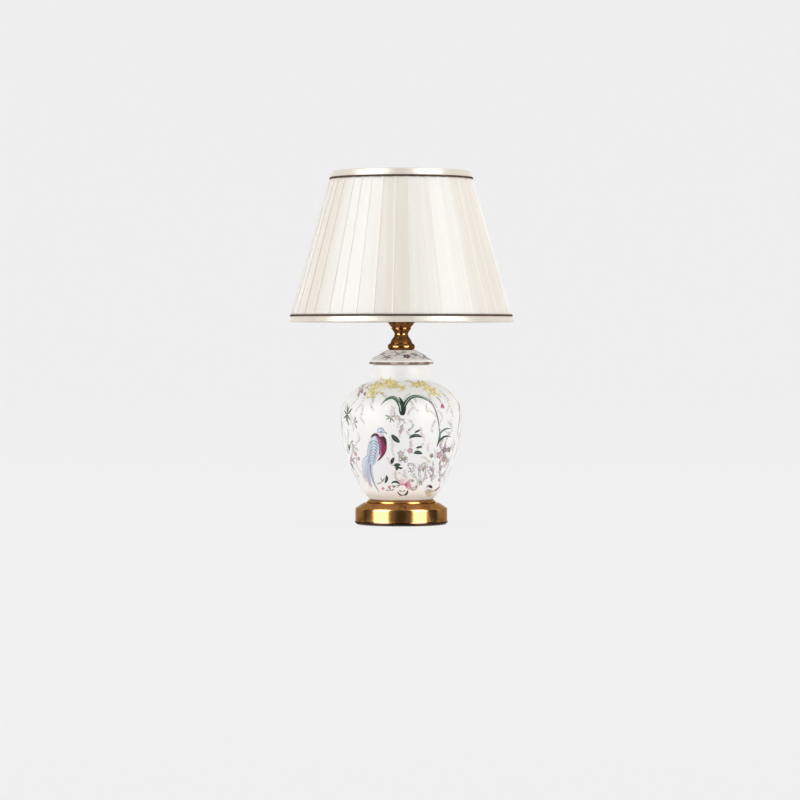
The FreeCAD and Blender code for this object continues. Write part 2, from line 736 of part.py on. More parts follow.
CAP_R = 13.1
CAP_WALL = 0.4
CAP_FOOT = 5.0
CAP_LENGTH = 26.5
CAP_LOW_Z = BULB_TIP_Z + CAP_FOOT
CAP_TOP_Z = BULB_TIP_Z + CAP_LENGTH
GLASS_T = 0.8
GLASS_NECK_R = 11.5


def bulb_cap():
    """Screw cap with rounded thread rings."""
    ring_count, thread_depth, neck_r, first_share = 5, 0.9, 12.4, 0.75
    pitch = (CAP_TOP_Z - CAP_LOW_Z) / (ring_count + 1)
    outer = [(neck_r, CAP_LOW_Z)]
    for i in range(ring_count):
        middle = CAP_LOW_Z + pitch * (i + first_share)
        outer += [(CAP_R, middle), (CAP_R - thread_depth, middle + pitch / 2)]
    outer.append((CAP_R, CAP_TOP_Z))
    inner_r = CAP_R - thread_depth - CAP_WALL
    outside = smooth(outer)
    ends = [outside.EndPoint, V(inner_r, 0, CAP_TOP_Z), V(inner_r, 0, CAP_LOW_Z), outside.StartPoint]
    edges = [outside.toShape()] + [Part.makeLine(a, b) for a, b in zip(ends, ends[1:])]
    return turn(Part.Wire(edges))


def bulb_insulator():
    """Glass insulator between the cap and its tip."""
    tip_r, edge_r, tip_t = 5.2, 11.6, 1.4
    return turned((0, BULB_TIP_Z + tip_t), (tip_r, BULB_TIP_Z + tip_t), (edge_r, CAP_LOW_Z - THREAD_GAP),
                  (0, CAP_LOW_Z - THREAD_GAP))


def bulb_tip():
    """Contact plate at the foot of the bulb."""
    tip_r, tip_t, tip_round = 4.8, 1.4, 0.6
    return turned((0, BULB_TIP_Z), (tip_r, BULB_TIP_Z, tip_round), (tip_r, BULB_TIP_Z + tip_t),
                  (0, BULB_TIP_Z + tip_t))


def bulb_glass():
    """Candle-shaped glass envelope, open at the cap."""
    belly_r, neck_in = 18.5, 4.0
    shares = [(0.64, 0.0), (0.7, 0.09), (0.93, 0.24), (1.0, 0.38), (0.93, 0.58), (0.68, 0.78),
              (0.36, 0.92), (0.16, 0.975), (0.0, 1.0)]
    low, high = CAP_TOP_Z + THREAD_GAP, BULB_TIP_Z + BULB_LENGTH
    outer = [(belly_r * r, low + (high - low) * z) for r, z in shares]
    inner = inset(smooth(outer), GLASS_T)[:-2] + [(0, high - GLASS_T)]
    hem_r, hem_z = GLASS_NECK_R - GLASS_T, low - neck_in
    foot = [(hem_r, inner[0][1]), (hem_r, hem_z), (GLASS_NECK_R, hem_z), (GLASS_NECK_R, low)]
    return turned_wall(outer, inner, foot=foot)


FILAMENT_COUNT = 4
FILAMENT_FOOT = 40.0
FILAMENT_LENGTH = 34.0
FILAMENT_LOW_Z = BULB_TIP_Z + FILAMENT_FOOT
FILAMENT_HIGH_Z = FILAMENT_LOW_Z + FILAMENT_LENGTH
FILAMENT_LOW_R = 4.0
FILAMENT_HIGH_R = 6.5
FILAMENT_R = 0.9
STEM_R = 2.6


def bulb_stem():
    """Glass stem with a flared foot, rising from the cap."""
    foot_in, flare_h = 3.0, 6.0
    foot_z, flare_z = CAP_TOP_Z - foot_in, CAP_TOP_Z + flare_h
    foot_r = GLASS_NECK_R - GLASS_T - THREAD_GAP
    return turned((0, foot_z), (foot_r, foot_z), (foot_r, foot_z + GLASS_T), (STEM_R, flare_z),
                  (STEM_R, FILAMENT_LOW_Z - FILAMENT_R * 2), (0, FILAMENT_LOW_Z - FILAMENT_R * 2))


def bulb_filaments():
    """Four light rods that lean outwards above the stem."""
    low = V(FILAMENT_LOW_R, 0, FILAMENT_LOW_Z)
    light_rod = rod(FILAMENT_R, low, V(FILAMENT_HIGH_R, 0, FILAMENT_HIGH_Z))
    return Part.Compound(around(light_rod, FILAMENT_COUNT))


def bulb_supports():
    """Post and thin arms that hold the light rods at both ends."""
    wire_r = 0.35
    foot = V(0, 0, FILAMENT_LOW_Z - FILAMENT_R * 2 + wire_r)
    top = V(0, 0, FILAMENT_HIGH_Z + FILAMENT_R * 2)
    spread = [rod(wire_r, foot, V(FILAMENT_LOW_R, 0, FILAMENT_LOW_Z - FILAMENT_R)),
              rod(wire_r, top, V(FILAMENT_HIGH_R, 0, FILAMENT_HIGH_Z + FILAMENT_R))]
    arms = [arm for shape in spread for arm in around(shape, FILAMENT_COUNT)]
    return rod(wire_r * 2, foot, top).fuse(arms).removeSplitter()


def main():
    """Writes every node."""
    save(felt_pad(), "felt_pad")
    save(bottom_plate(), "bottom_plate")
    save(plate_screws(), "plate_screws")
    save(base_weight(), "base_weight")
    save(base_shell(), "base_shell")
    save(base_collar(), "base_collar")
    save(cord_gland(), "cord_gland")
    save(gland_nut(), "gland_nut")
    save(terminal_block(), "terminal_block")
    save(terminal_screws(), "terminal_screws")
    save(inner_wires(), "inner_wires")
    save(threaded_rod(), "threaded_rod")
    save(rod_washer(), "rod_washer")
    save(rod_nut(HUB_Z - WASHER_T - NUT_T, NUT_T), "rod_nut")
    save(vase_seal(), "vase_seal")
    save(vase_body(), "vase_body")
    save(lid_seal(), "lid_seal")
    save(vase_lid(), "vase_lid")
    save(neck_ring(), "neck_ring")
    save(neck_bell(), "neck_bell")
    save(neck_waist(), "neck_waist")
    save(holder_cup(), "holder_cup")
    save(holder_nut(), "holder_nut")
    save(lampholder_dome(), "lampholder_dome")
    save(lock_screw(), "lock_screw")
    save(lampholder_insert(), "lampholder_insert")
    save(lampholder_shell(), "lampholder_shell")
    save(lampholder_contact(), "lampholder_contact")
    save(lampholder_skirt(), "lampholder_skirt")
    save(shade_ring(), "shade_ring")
    save(shade_carrier(), "shade_carrier")
    save(shade_top_wire(), "shade_top_wire")
    save(shade_liner(), "shade_liner")
    save(shade_cover(), "shade_cover")
    save(shade_bottom_band(), "shade_bottom_band")
    save(shade_band(LAMP_TOP_Z, TOP_BAND_H, -1), "shade_top_band")
    save(piping(PIPING_BOTTOM_Z), "shade_bottom_piping")
    save(piping(PIPING_TOP_Z), "shade_top_piping")
    save(bulb_cap(), "bulb_cap")
    save(bulb_insulator(), "bulb_insulator")
    save(bulb_tip(), "bulb_tip")
    save(bulb_glass(), "bulb_glass")
    save(bulb_stem(), "bulb_stem")
    save(bulb_filaments(), "bulb_filaments")
    save(bulb_supports(), "bulb_supports")


main()
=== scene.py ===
# %% [markdown]
# # A table lamp with a lidded vase stem
#
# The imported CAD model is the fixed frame. The pieces that show are made again here
# as fine surfaces: each is a grid of points computed from a formula, so that its
# shape can be read off the formula and changed in one place.

# %% The frame
import math

import bpy
import numpy as np
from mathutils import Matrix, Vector


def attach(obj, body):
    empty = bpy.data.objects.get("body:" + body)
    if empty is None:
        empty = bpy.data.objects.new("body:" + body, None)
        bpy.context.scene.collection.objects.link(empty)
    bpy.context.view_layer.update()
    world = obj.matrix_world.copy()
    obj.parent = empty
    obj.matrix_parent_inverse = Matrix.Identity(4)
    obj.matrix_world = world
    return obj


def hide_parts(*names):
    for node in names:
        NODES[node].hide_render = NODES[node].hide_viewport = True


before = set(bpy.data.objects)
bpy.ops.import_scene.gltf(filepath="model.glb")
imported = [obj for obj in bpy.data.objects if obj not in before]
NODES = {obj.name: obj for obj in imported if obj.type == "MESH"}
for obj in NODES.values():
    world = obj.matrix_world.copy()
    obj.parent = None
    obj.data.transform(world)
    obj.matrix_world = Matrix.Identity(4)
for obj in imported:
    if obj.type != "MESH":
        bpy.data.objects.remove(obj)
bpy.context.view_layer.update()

MM = 0.001
TURN = 2 * math.pi

# %% [markdown]
# ## Grids of points into meshes
#
# Every surface below is an array of points with the shape (pieces, rows, columns, 3).
# Neighbouring points make a quad. Points that fall on each other, as along the seam
# of a turned piece or at a pole, become one vertex, so that the surface is closed there.

# %% A grid becomes a mesh
def linked(name, data):
    """Object of the scene that shows some data."""
    made = bpy.data.objects.new(name, data)
    bpy.context.scene.collection.objects.link(made)
    return made


def grid_quads(pieces, rows, columns):
    """Corner numbers of all quads of a stack of grids, as an array (quads, 4)."""
    index = np.arange(pieces * rows * columns).reshape(pieces, rows, columns)
    corners = [index[:, :-1, :-1], index[:, 1:, :-1], index[:, 1:, 1:], index[:, :-1, 1:]]
    return np.stack(corners, -1).reshape(-1, 4)


def surface(name, points, material, uv=None, tint=None, flip=False):
    """Mesh object through a stack of grids of points, in metres.

    uv holds two numbers per point and tint a linear colour per point, on the same grid.
    A quad with two corners on one vertex becomes a triangle, and a smaller one is left out."""
    points = points if points.ndim == 4 else points[None]
    quads = grid_quads(*points.shape[:3])
    if flip:
        quads = quads[:, ::-1]
    flat = points.reshape(-1, 3)
    _, first, back = np.unique(np.round(flat / MM, 4), axis=0, return_index=True, return_inverse=True)
    back = back.reshape(-1)
    double = back[quads] == np.roll(back[quads], -1, axis=1)
    whole = quads[double.sum(1) == 0]
    cut = double.sum(1) == 1
    thirds = quads[cut][~double[cut]].reshape(-1, 3)
    corners = np.concatenate([whole.reshape(-1), thirds.reshape(-1)])
    sizes = np.repeat([4, 3], [len(whole), len(thirds)])
    mesh = bpy.data.meshes.new(name)
    mesh.vertices.add(len(first))
    mesh.vertices.foreach_set("co", flat[first].astype(np.float32).reshape(-1))
    mesh.loops.add(len(corners))
    mesh.loops.foreach_set("vertex_index", back[corners].astype(np.int32))
    mesh.polygons.add(len(sizes))
    mesh.polygons.foreach_set("loop_start", (np.cumsum(sizes) - sizes).astype(np.int32))
    mesh.polygons.foreach_set("use_smooth", np.ones(len(sizes), bool))
    if uv is not None:
        layer = mesh.uv_layers.new(name="UVMap")
        layer.data.foreach_set("uv", uv.reshape(-1, 2)[corners].astype(np.float32).reshape(-1))
    if tint is not None:
        colours = np.insert(tint.reshape(-1, 3)[first], 3, 1, axis=1)
        layer = mesh.attributes.new("tint", "FLOAT_COLOR", "POINT")
        layer.data.foreach_set("color", colours.astype(np.float32).reshape(-1))
    mesh.update(calc_edges=True)
    mesh.validate()
    mesh.materials.append(material)
    return linked(name, mesh)


def place(piece, body, slot, *nodes):
    """The piece rides on a body and stands for CAD nodes, which it hides. slot is not used."""
    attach(piece, body)
    if nodes:
        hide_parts(*nodes)
    triangles = sum(len(p.vertices) - 2 for p in piece.data.polygons)
    print(f"{piece.name}: {triangles} triangles, stands for {', '.join(nodes) or 'nothing'}")
    return piece


print("quads of a grid of 3 by 4 points:", len(grid_quads(1, 3, 4)))

# %% [markdown]
# ## Outlines
#
# Turned pieces start from an outline of (radius, height) points in millimetres, in the
# order that leaves the solid on the left when radius points right and height points up.
# Corners are rounded with tangent arcs, as a real spun or cast edge is.

# %% Outlines
def rounded(corners, arc_steps=7, closed=True):
    """Outline through (r, z) or (r, z, rounding) corners, with an arc in each rounded one."""
    points = [np.array(c[:2], float) for c in corners]
    rounds = [c[2] if len(c) > 2 else 0 for c in corners]
    path = []
    for i, (here, radius) in enumerate(zip(points, rounds)):
        if not radius:
            path.append(here[None])
            continue
        before = points[i - 1] - here
        after = points[(i + 1) % len(points)] - here
        before, after = before / np.hypot(*before), after / np.hypot(*after)
        half = math.acos(np.clip(before @ after, -1, 1)) / 2
        middle = (before + after) / np.hypot(*(before + after))
        centre = here + middle * radius / math.sin(half)
        start, end = here + before * radius / math.tan(half), here + after * radius / math.tan(half)
        share = np.linspace(0, 1, arc_steps)[:, None]
        spokes = (start - centre) * (1 - share) + (end - centre) * share
        path.append(centre + spokes * radius / np.hypot(*spokes.T)[:, None])
    path = np.concatenate(path)
    return np.concatenate([path, path[:1]]) if closed else path


def resampled(path, step):
    """The same outline with points no further apart than step, its own points kept."""
    path = np.asarray(path, float)
    gaps = np.hypot(*np.diff(path, axis=0).T)
    parts = [np.linspace(a, b, max(1, int(np.ceil(g / step))), endpoint=False)
             for a, b, g in zip(path[:-1], path[1:], gaps)]
    return np.concatenate(parts + [path[-1:]])


def along(path):
    """Distance walked along a path at each of its points."""
    return np.concatenate([[0], np.cumsum(np.linalg.norm(np.diff(path, axis=0), axis=-1))])


def spline(knots, count):
    """Smooth curve through knots: cubic spans whose slope and bend agree at each knot.

    With h the distance between two knots and e the direction from one to the next, the
    slopes m solve m1 / h1 + 2 m2 (1 / h1 + 1 / h2) + m3 / h2 = 3 (e1 / h1 + e2 / h2), and
    the curve is straight at its two ends."""
    knots = np.asarray(knots, float)
    at = along(knots)
    h = np.diff(at)
    e = np.diff(knots, axis=0) / h[:, None]
    near, far = np.append(1 / h, 0), np.append(0, 1 / h)
    system = np.diag(2 * (near + far)) + np.diag(1 / h, 1) + np.diag(1 / h, -1)
    pull = e / h[:, None]
    slope = np.linalg.solve(system, 3 * (np.append(pull, [[0, 0]], 0) + np.append([[0, 0]], pull, 0)))
    t = np.linspace(0, at[-1], count)
    k = np.clip(np.searchsorted(at, t, side="right") - 1, 0, len(at) - 2)
    gap = (at[k + 1] - at[k])[:, None]
    s = (t - at[k])[:, None] / gap
    return ((2 * s**3 - 3 * s**2 + 1) * knots[k] + (s**3 - 2 * s**2 + s) * gap * slope[k]
            + (3 * s**2 - 2 * s**3) * knots[k + 1] + (s**3 - s**2) * gap * slope[k + 1])


print("a rounded square has", len(rounded([(0, 0, 1), (4, 0, 1), (4, 4, 1), (0, 4, 1)])), "points")

# %% [markdown]
# ## Turned pieces
#
# On a lathe the tool follows an outline while the work turns. Here the outline itself is
# carried around the axis in small steps, and the ends of the last turn are joined.

# %% Turned pieces
def circle(steps):
    """Angles of one full turn, as a column."""
    return np.linspace(0, TURN, steps + 1)[:, None]


def around(r, a, z):
    """Points at a radius, an angle around the axis and a height: (r cos a, r sin a, z)."""
    return np.stack([r * np.cos(a), r * np.sin(a), z + 0 * a], -1)


def turned_grid(path, steps):
    """Grid of a turned piece: the outline, in mm, is carried once around the axis."""
    return around(path[:, 0] * MM, circle(steps), path[:, 1] * MM)


def turned(name, path, material, steps=160):
    """Turned piece; its uv is the share of the turn and the distance along the outline, in metres."""
    u = np.linspace(0, 1, steps + 1)[:, None] + 0 * path[:, 0]
    uv = np.stack([u, along(path) * MM + 0 * u], -1)
    return surface(name, turned_grid(path, steps), material, uv=uv)


print("a turn of 4 steps:", np.degrees(circle(4)).ravel())

# %% [markdown]
# ## Materials from arithmetic
#
# A material is built from numbers that vary over the surface. The small class below
# wraps such a number, so that `0.4 + 0.1 * noise` makes the nodes for it. Whatever is
# the same everywhere is a plain value on the shader itself.

# %% Shader arithmetic
class Amount:
    """A number that varies over a surface; arithmetic on it adds a maths node."""

    def __init__(self, nodes, socket):
        self.nodes, self.socket = nodes, socket

    def __add__(self, other):
        return self.nodes.maths("ADD", self, other)

    def __sub__(self, other):
        return self.nodes.maths("SUBTRACT", self, other)

    def __rsub__(self, other):
        return self.nodes.maths("SUBTRACT", other, self)

    def __mul__(self, other):
        return self.nodes.maths("MULTIPLY", self, other)

    def __truediv__(self, other):
        return self.nodes.maths("DIVIDE", self, other)

    __radd__, __rmul__ = __add__, __mul__


class Nodes:
    """The nodes of a material or of the world, in the making."""

    def __init__(self, tree):
        self.tree = tree

    def feed(self, socket, value):
        """Links an amount to a socket, or sets a plain value; a colour gets its fourth number here."""
        if isinstance(value, Amount):
            self.tree.links.new(value.socket, socket)
        else:
            socket.default_value = (*value, 1) if socket.type == "RGBA" else value

    def node(self, kind, settings=None, output=0, **inputs):
        """Any node: its type, its settings, then its inputs by name, or by number after an i."""
        made = self.tree.nodes.new(kind)
        for key, value in (settings or {}).items():
            setattr(made, key, value)
        for key, value in inputs.items():
            self.feed(made.inputs[int(key[1:]) if key[0] == "i" and key[1:].isdigit() else key], value)
        return Amount(self, made.outputs[output])

    def maths(self, operation, *values, clamp=False):
        """One maths node."""
        inputs = {f"i{i}": v for i, v in enumerate(values)}
        return self.node("ShaderNodeMath", {"operation": operation, "use_clamp": clamp}, **inputs)

    def place(self):
        """Object coordinates, in metres."""
        return self.node("ShaderNodeTexCoord", output="Object")

    def split(self, vector):
        """The three parts of a vector."""
        made = self.node("ShaderNodeSeparateXYZ", Vector=vector).socket.node
        return [Amount(self, s) for s in made.outputs]

    def uv(self):
        """The surface's own two coordinates."""
        return self.split(self.node("ShaderNodeUVMap", {"uv_map": "UVMap"}))[:2]

    def noise(self, scale, detail=3, roughness=0.55, at=None):
        """Cloudy noise from 0 to 1, over object coordinates or over a vector with the parts in at."""
        vector = self.node("ShaderNodeCombineXYZ", **dict(zip("XYZ", at))) if at else self.place()
        return self.node("ShaderNodeTexNoise", Vector=vector, Scale=scale, Detail=detail, Roughness=roughness)

    def cells(self, scale):
        """Distance to the nearest of points scattered over object coordinates."""
        return self.node("ShaderNodeTexVoronoi", output="Distance", Vector=self.place(), Scale=scale)

    def ramp(self, value, low, high):
        """0 below low, 1 above high and a soft step between."""
        return self.node("ShaderNodeMapRange", {"interpolation_type": "SMOOTHSTEP"},
                         Value=value, i1=low, i2=high)

    def mix(self, factor, first, second):
        """Colour between two colours."""
        made = self.node("ShaderNodeMix", {"data_type": "RGBA"}, Factor=factor).socket.node
        for socket, value in zip([s for s in made.inputs if s.type == "RGBA"], (first, second)):
            self.feed(socket, value)
        return Amount(self, next(s for s in made.outputs if s.type == "RGBA"))


print("maths nodes answer to + - * /")

# %% [markdown]
# ## A finish
#
# A finish is one main shader. Its constants are set at the start; what varies over the
# surface, and a small relief, are fed in at the end.

# %% Finish
class Finish(Nodes):
    """A material in the making, with one main shader."""

    def __init__(self, name, colour, **constants):
        """colour is linear red, green, blue; constants are the shader's own sockets, with _ for a space."""
        self.material = bpy.data.materials.new(name)
        self.material.use_nodes = True
        super().__init__(self.material.node_tree)
        self.shader = next(n for n in self.tree.nodes if n.type == "BSDF_PRINCIPLED")
        self.vary(Base_Color=colour, **constants)

    def vary(self, **values):
        """Feeds sockets of the shader, with _ for a space in their names."""
        for name, value in values.items():
            self.feed(self.shader.inputs[name.replace("_", " ")], value)

    def done(self, height, depth, **values):
        """The material, with what varies and a relief: height from 0 to 1 stands for depth metres."""
        self.vary(Normal=self.node("ShaderNodeBump", Height=height, Distance=depth), **values)
        return self.material


print("shader kit ready")

# %% [markdown]
# ## Metal
#
# The brass is a plated, brushed and lacquered finish: very fine rings from the lathe,
# slightly uneven, with the gloss broken a little by handling. The rings run around
# the axis, so their coordinate is the distance along the outline.

# %% Metal finishes
def brushed(name, colour, dark, ring_scale=2600, roughness=0.2, depth=6e-7, painted_edge_shade=0.5):
    """Turned metal: fine rings around the axis, clouds of tarnish, and painted shade that darkens it where it
    is seen at a flat angle.

    Below 5 mm, at the rolled lip of the drum, it is painted nearly black as painted shade."""
    made = Finish(name, colour, Metallic=1.0, Anisotropic=0.6, Anisotropic_Rotation=0.25,
                  Coat_Weight=0.2, Coat_Roughness=0.1, Specular_Tint=(0.8, 0.55, 0.35))
    x, y, z = made.split(made.place())
    _, v = made.uv()
    rings = made.noise(1, 2, at=(x * 9, y * 9, v * ring_scale))
    dull = made.ramp(made.noise(90, 4), 0.45, 0.75)
    rim = made.node("ShaderNodeLayerWeight", output="Facing", Blend=0.5)
    # painted shade: the metal goes darker where it is seen at a flat angle, mixed with the tarnish clouds and
    # rings
    patina_and_edge_shade = made.mix(0.25 * dull + 0.35 * rings + painted_edge_shade * rim * rim, colour, dark)
    # painted shade: below 5 mm the drum's rolled lip goes nearly black
    lip = 0.93 - 0.93 * made.ramp(z, 0.0040, 0.0052)
    return made.done(rings, depth, Base_Color=made.mix(lip, patina_and_edge_shade, (0.008, 0.005, 0.003)),
                     Roughness=roughness - 0.03 + 0.07 * rings + 0.02 * dull)


def cast(name, colour, grain, roughness, metallic=0.0, depth=1e-5, **constants):
    """Cast, sprayed or moulded surface: one colour with fine grain and slow clouds."""
    made = Finish(name, colour, Metallic=metallic, **constants)
    fine = made.noise(grain)
    slow = made.noise(grain / 30, 2)
    shade = tuple(c * 0.82 for c in colour)
    return made.done(fine, depth, Base_Color=made.mix(0.6 * slow + 0.4 * fine, colour, shade),
                     Roughness=roughness + 0.12 * (fine - 0.5))


BRASS = brushed("antique_brass", (0.33, 0.17, 0.058), (0.17, 0.07, 0.02))
# the neck takes stronger painted shade where it is seen at a flat angle
NECK_BRASS = brushed("antique_brass_neck", (0.28, 0.125, 0.034), (0.06, 0.02, 0.004), 3400, painted_edge_shade=2.2)
CONTACT = brushed("contact_brass", (0.80, 0.60, 0.27), (0.60, 0.42, 0.18), 3000, 0.3)
STEEL = cast("zinc_steel", (0.55, 0.55, 0.54), 2500, 0.34, 1.0, 4e-6)
IRON = cast("black_iron", (0.03, 0.03, 0.03), 900, 0.62, depth=2e-4)
CAP_METAL = cast("nickel_plate", (0.62, 0.61, 0.58), 2500, 0.25, 1.0, 4e-6)
WIRE_PAINT = cast("white_powder", (0.80, 0.79, 0.76), 1800, 0.45, depth=2e-5)
print("metal finishes:", len(bpy.data.materials))

# %% [markdown]
# ## Plastic, ceramic, cork and glass
#
# These are mostly inside: they show from below or from above through the open shade.

# %% Hard finishes
BLACK = cast("black_moulding", (0.018, 0.018, 0.019), 2200, 0.32, Specular_IOR_Level=0.08)
WHITE_PLASTIC = cast("white_moulding", (0.78, 0.77, 0.73), 2200, 0.4)
INSULATION = cast("clear_insulation", (0.66, 0.62, 0.50), 1800, 0.35)
PORCELAIN = cast("bare_porcelain", (0.78, 0.76, 0.71), 1500, 0.5, depth=2e-5)
VITRITE = cast("black_vitrite", (0.01, 0.01, 0.012), 1500, 0.12, Specular_IOR_Level=0.1)
PHOSPHOR = cast("phosphor", (0.80, 0.50, 0.06), 2600, 0.6, depth=3e-5)


def cork_finish():
    """Pressed cork: grains of a few shades with dark gaps."""
    made = Finish("pressed_cork", (0.38, 0.22, 0.11), Roughness=0.85)
    grain = made.cells(900)
    shades = made.mix(made.ramp(grain, 0.1, 0.6), (0.42, 0.25, 0.13), (0.2, 0.11, 0.05))
    return made.done(grain, 2e-4, Base_Color=shades)


def frosted_glass():
    """Frosted bulb: milky glass that lets a little light through, with a fine etched grain."""
    made = Finish("frosted_glass", (0.93, 0.92, 0.90), Transmission_Weight=0.35, IOR=1.45)
    etch = made.noise(4000, 2)
    return made.done(etch, 4e-6, Roughness=0.36 + 0.12 * etch)


for finish, nodes in [
        (STEEL, "plate_screws bottom_plate terminal_screws threaded_rod rod_washer rod_nut holder_nut"),
        (STEEL, "lock_screw bulb_supports"), (IRON, "base_weight"), (CAP_METAL, "bulb_cap"),
        (BLACK, "cord_gland gland_nut lampholder_dome lampholder_skirt shade_ring"),
        (CONTACT, "lampholder_shell lampholder_contact bulb_tip"), (PORCELAIN, "lampholder_insert"),
        (WHITE_PLASTIC, "terminal_block"), (INSULATION, "inner_wires"), (VITRITE, "bulb_insulator"),
        (WIRE_PAINT, "shade_carrier shade_top_wire"), (cork_finish(), "vase_seal lid_seal"),
        (frosted_glass(), "bulb_glass bulb_stem"), (PHOSPHOR, "bulb_filaments")]:
    for node in nodes.split():
        for slot in NODES[node].material_slots:
            slot.material = finish
print("CAD nodes:", len(NODES))

# %% [markdown]
# ## Camera
#
# The picture is taken from in front, from a long way off and a little above the jar. A
# long lens does the same, and a small shift puts the lamp beside the middle, as there.

# %% Camera
LAMP_X_PIXEL, WIDTH_PIXELS = 401.3, 800
CAMERA_AWAY, CAMERA_HIGH, LOOKS_DOWN = 4500, 253, 1.12
camera = linked("camera", bpy.data.cameras.new("camera"))
camera.data.sensor_width, camera.data.lens = 36.0, 152.3
camera.location = (0, -CAMERA_AWAY * MM, CAMERA_HIGH * MM)
camera.rotation_euler = (math.radians(90 - LOOKS_DOWN), 0, 0)
camera.data.shift_x = -(LAMP_X_PIXEL - WIDTH_PIXELS / 2) / WIDTH_PIXELS
bpy.context.scene.camera = camera
bpy.context.scene.view_settings.view_transform = "Standard"
print("camera at", tuple(camera.location))

# %% [markdown]
# ## Floor and backdrop
#
# A studio rolls out paper so that the floor bends up into a wall without an edge. What
# is seen of it here is mostly light of its own, so that the pale grey stays even and
# the lamp's shadow as faint as in the picture.

# %% Floor and backdrop
PALE = (0.863, 0.863, 0.863)


def seen_rays(made):
    """1 for rays from the camera, from a mirror and through glass, and 0 for the rest."""
    path = made.node("ShaderNodeLightPath").socket.node
    eye, mirror, glass = [Amount(made, path.outputs[f"Is {kind} Ray"])
                          for kind in ("Camera", "Glossy", "Transmission")]
    return made.maths("ADD", eye + mirror, glass, clamp=True)


def backdrop_finish():
    """Matt paper; what is seen of it is mostly its own colour, and the rest takes light and shadow."""
    made = Finish("backdrop_paper", PALE, Specular_IOR_Level=0.0)
    made.vary(Roughness=0.95 + 0.05 * made.noise(60))
    glow = made.node("ShaderNodeEmission", Color=PALE, Strength=1.01)
    paper = Amount(made, made.shader.outputs[0])
    output = next(n for n in made.tree.nodes if n.type == "OUTPUT_MATERIAL")
    made.feed(output.inputs["Surface"],
              made.node("ShaderNodeMixShader", i0=0.93 * seen_rays(made), i1=paper, i2=glow))
    return made.material


def backdrop():
    """Round floor that turns up into a wall: radius and height follow a quarter circle at its edge."""
    flat, bend, high = 9.0, 2.0, 6.0
    turn = np.linspace(0, TURN / 4, 13)
    r = np.concatenate([np.linspace(0, flat, 24), flat + bend * np.sin(turn), [flat + bend]])
    z = np.concatenate([np.zeros(24), bend - bend * np.cos(turn), [high]])
    return surface("backdrop", around(r, circle(96), z), backdrop_finish(), flip=True)


paper = backdrop()
print("backdrop:", len(paper.data.polygons), "faces")

# %% [markdown]
# ## Light
#
# Two soft boxes stand to the left and right of the camera. Turned metal only looks
# like metal if it has something to reflect, so tall bright screens stand behind the
# soft boxes and black ones between and beside them, seen by reflections alone.

# %% World and lamps
world = bpy.data.worlds.new("studio")
bpy.context.scene.world = world
world.use_nodes = True
sky = Nodes(world.node_tree)
sky.feed(sky.tree.nodes["Background"].inputs["Color"], sky.mix(seen_rays(sky), (0.95, 0.95, 0.95), PALE))


def soft_box(name, azimuth, distance, height, size, power):
    """Rectangular lamp that faces the jar, at an angle from the camera's side."""
    a = math.radians(azimuth - 90)
    lamp = linked(name, bpy.data.lights.new(name, "AREA"))
    lamp.data.shape, lamp.data.size, lamp.data.size_y, lamp.data.energy = "RECTANGLE", *size, power
    lamp.location = (distance * math.cos(a), distance * math.sin(a), height)
    lamp.rotation_euler = (Vector((0, 0, 0.25)) - lamp.location).to_track_quat("-Z", "Y").to_euler()


def screen(name, azimuths, near, far, high, glow):
    """Screen that only reflections see: a part of a turned sheet that lies on the floor from
    near to far and then stands up to its height. It shines less where the brass passes it on."""
    made = Finish(name, (0.015, 0.014, 0.013), Specular_IOR_Level=0.0, Emission_Strength=glow)
    passed_on = made.maths("MINIMUM", made.node("ShaderNodeLightPath", output="Diffuse Depth"), 1.0)
    made.vary(Roughness=0.9 + 0.1 * made.noise(20),
              Emission_Color=made.mix(0.35 * passed_on, (1.0, 0.98, 0.95), (0.0, 0.0, 0.0)))
    lying = [(near, 0.002), (far, 0.002)] if near < far else [(far, 0.0)]
    path = resampled([*lying, (far, high)], 0.1)
    a = np.radians(np.linspace(*azimuths, 25) - 90)[:, None]
    piece = surface(name, around(path[:, 0], a, path[:, 1]), made.material)
    piece.visible_camera = piece.visible_diffuse = piece.visible_shadow = False


for side, word in ((-1, "left"), (1, "right")):
    soft_box(f"soft_box_{word}", side * 51, 2.6, 0.9, (1.5, 1.6), 6)
    soft_box(f"soft_side_{word}", side * 100, 2.4, 0.7, (1.4, 1.4), 10)
soft_box("soft_top", 0, 0.6, 3.0, (2.4, 2.4), 10)
for name, azimuths in [("dark_left", (-104, -69)), ("dark_right", (62, 97))]:
    screen(name, azimuths, 0.064, 0.55, 0.6, 0.03)
screen("dark_front", (-29.5, 27), 0.064, 0.27, 0.60, 0.03)
for name, azimuths in [("bright_left", (-76, -26)), ("bright_right", (24, 68))]:
    screen(name, azimuths, 2.4, 2.4, 4.0, 34.0)

# %% [markdown]
# ## The brass base
#
# A spun drum with a rolled lip, a rounded edge and a sloped shoulder, and a ring cap
# that carries the jar. Both are turned around the axis, so a profile says it all. The
# hole in their middle takes the hollow rod.

# %% Base
HOLE = 5.3
DRUM = rounded([(60.0, 2.0), (61.9, 2.0, 0.6), (61.9, 4.4, 0.6), (61.2, 4.7, 0.3), (61.2, 21.4, 1.4),
                (50.0, 28.6, 0.9), (HOLE, 28.6), (HOLE, 27.4), (49.65, 27.4), (60.0, 20.75)])
COLLAR = rounded([(44.6, 28.6), (45.8, 28.6), (45.8, 30.3, 0.7), (42.9, 33.0, 0.6), (HOLE, 33.0),
                  (HOLE, 31.8), (41.7, 31.8), (44.6, 29.1)])
place(turned("drum", resampled(DRUM, 1.5), BRASS, 240), "stand", "antique_brass", "base_shell")
place(turned("collar", resampled(COLLAR, 1.5), BRASS, 200), "stand", "antique_brass", "base_collar")

# %% [markdown]
# ## The felt
#
# A disc of pressed wool, cut a little smaller than the drum and glued to the plate.
# Its edge is not quite even, so the profile is turned with a small wave on the radius.

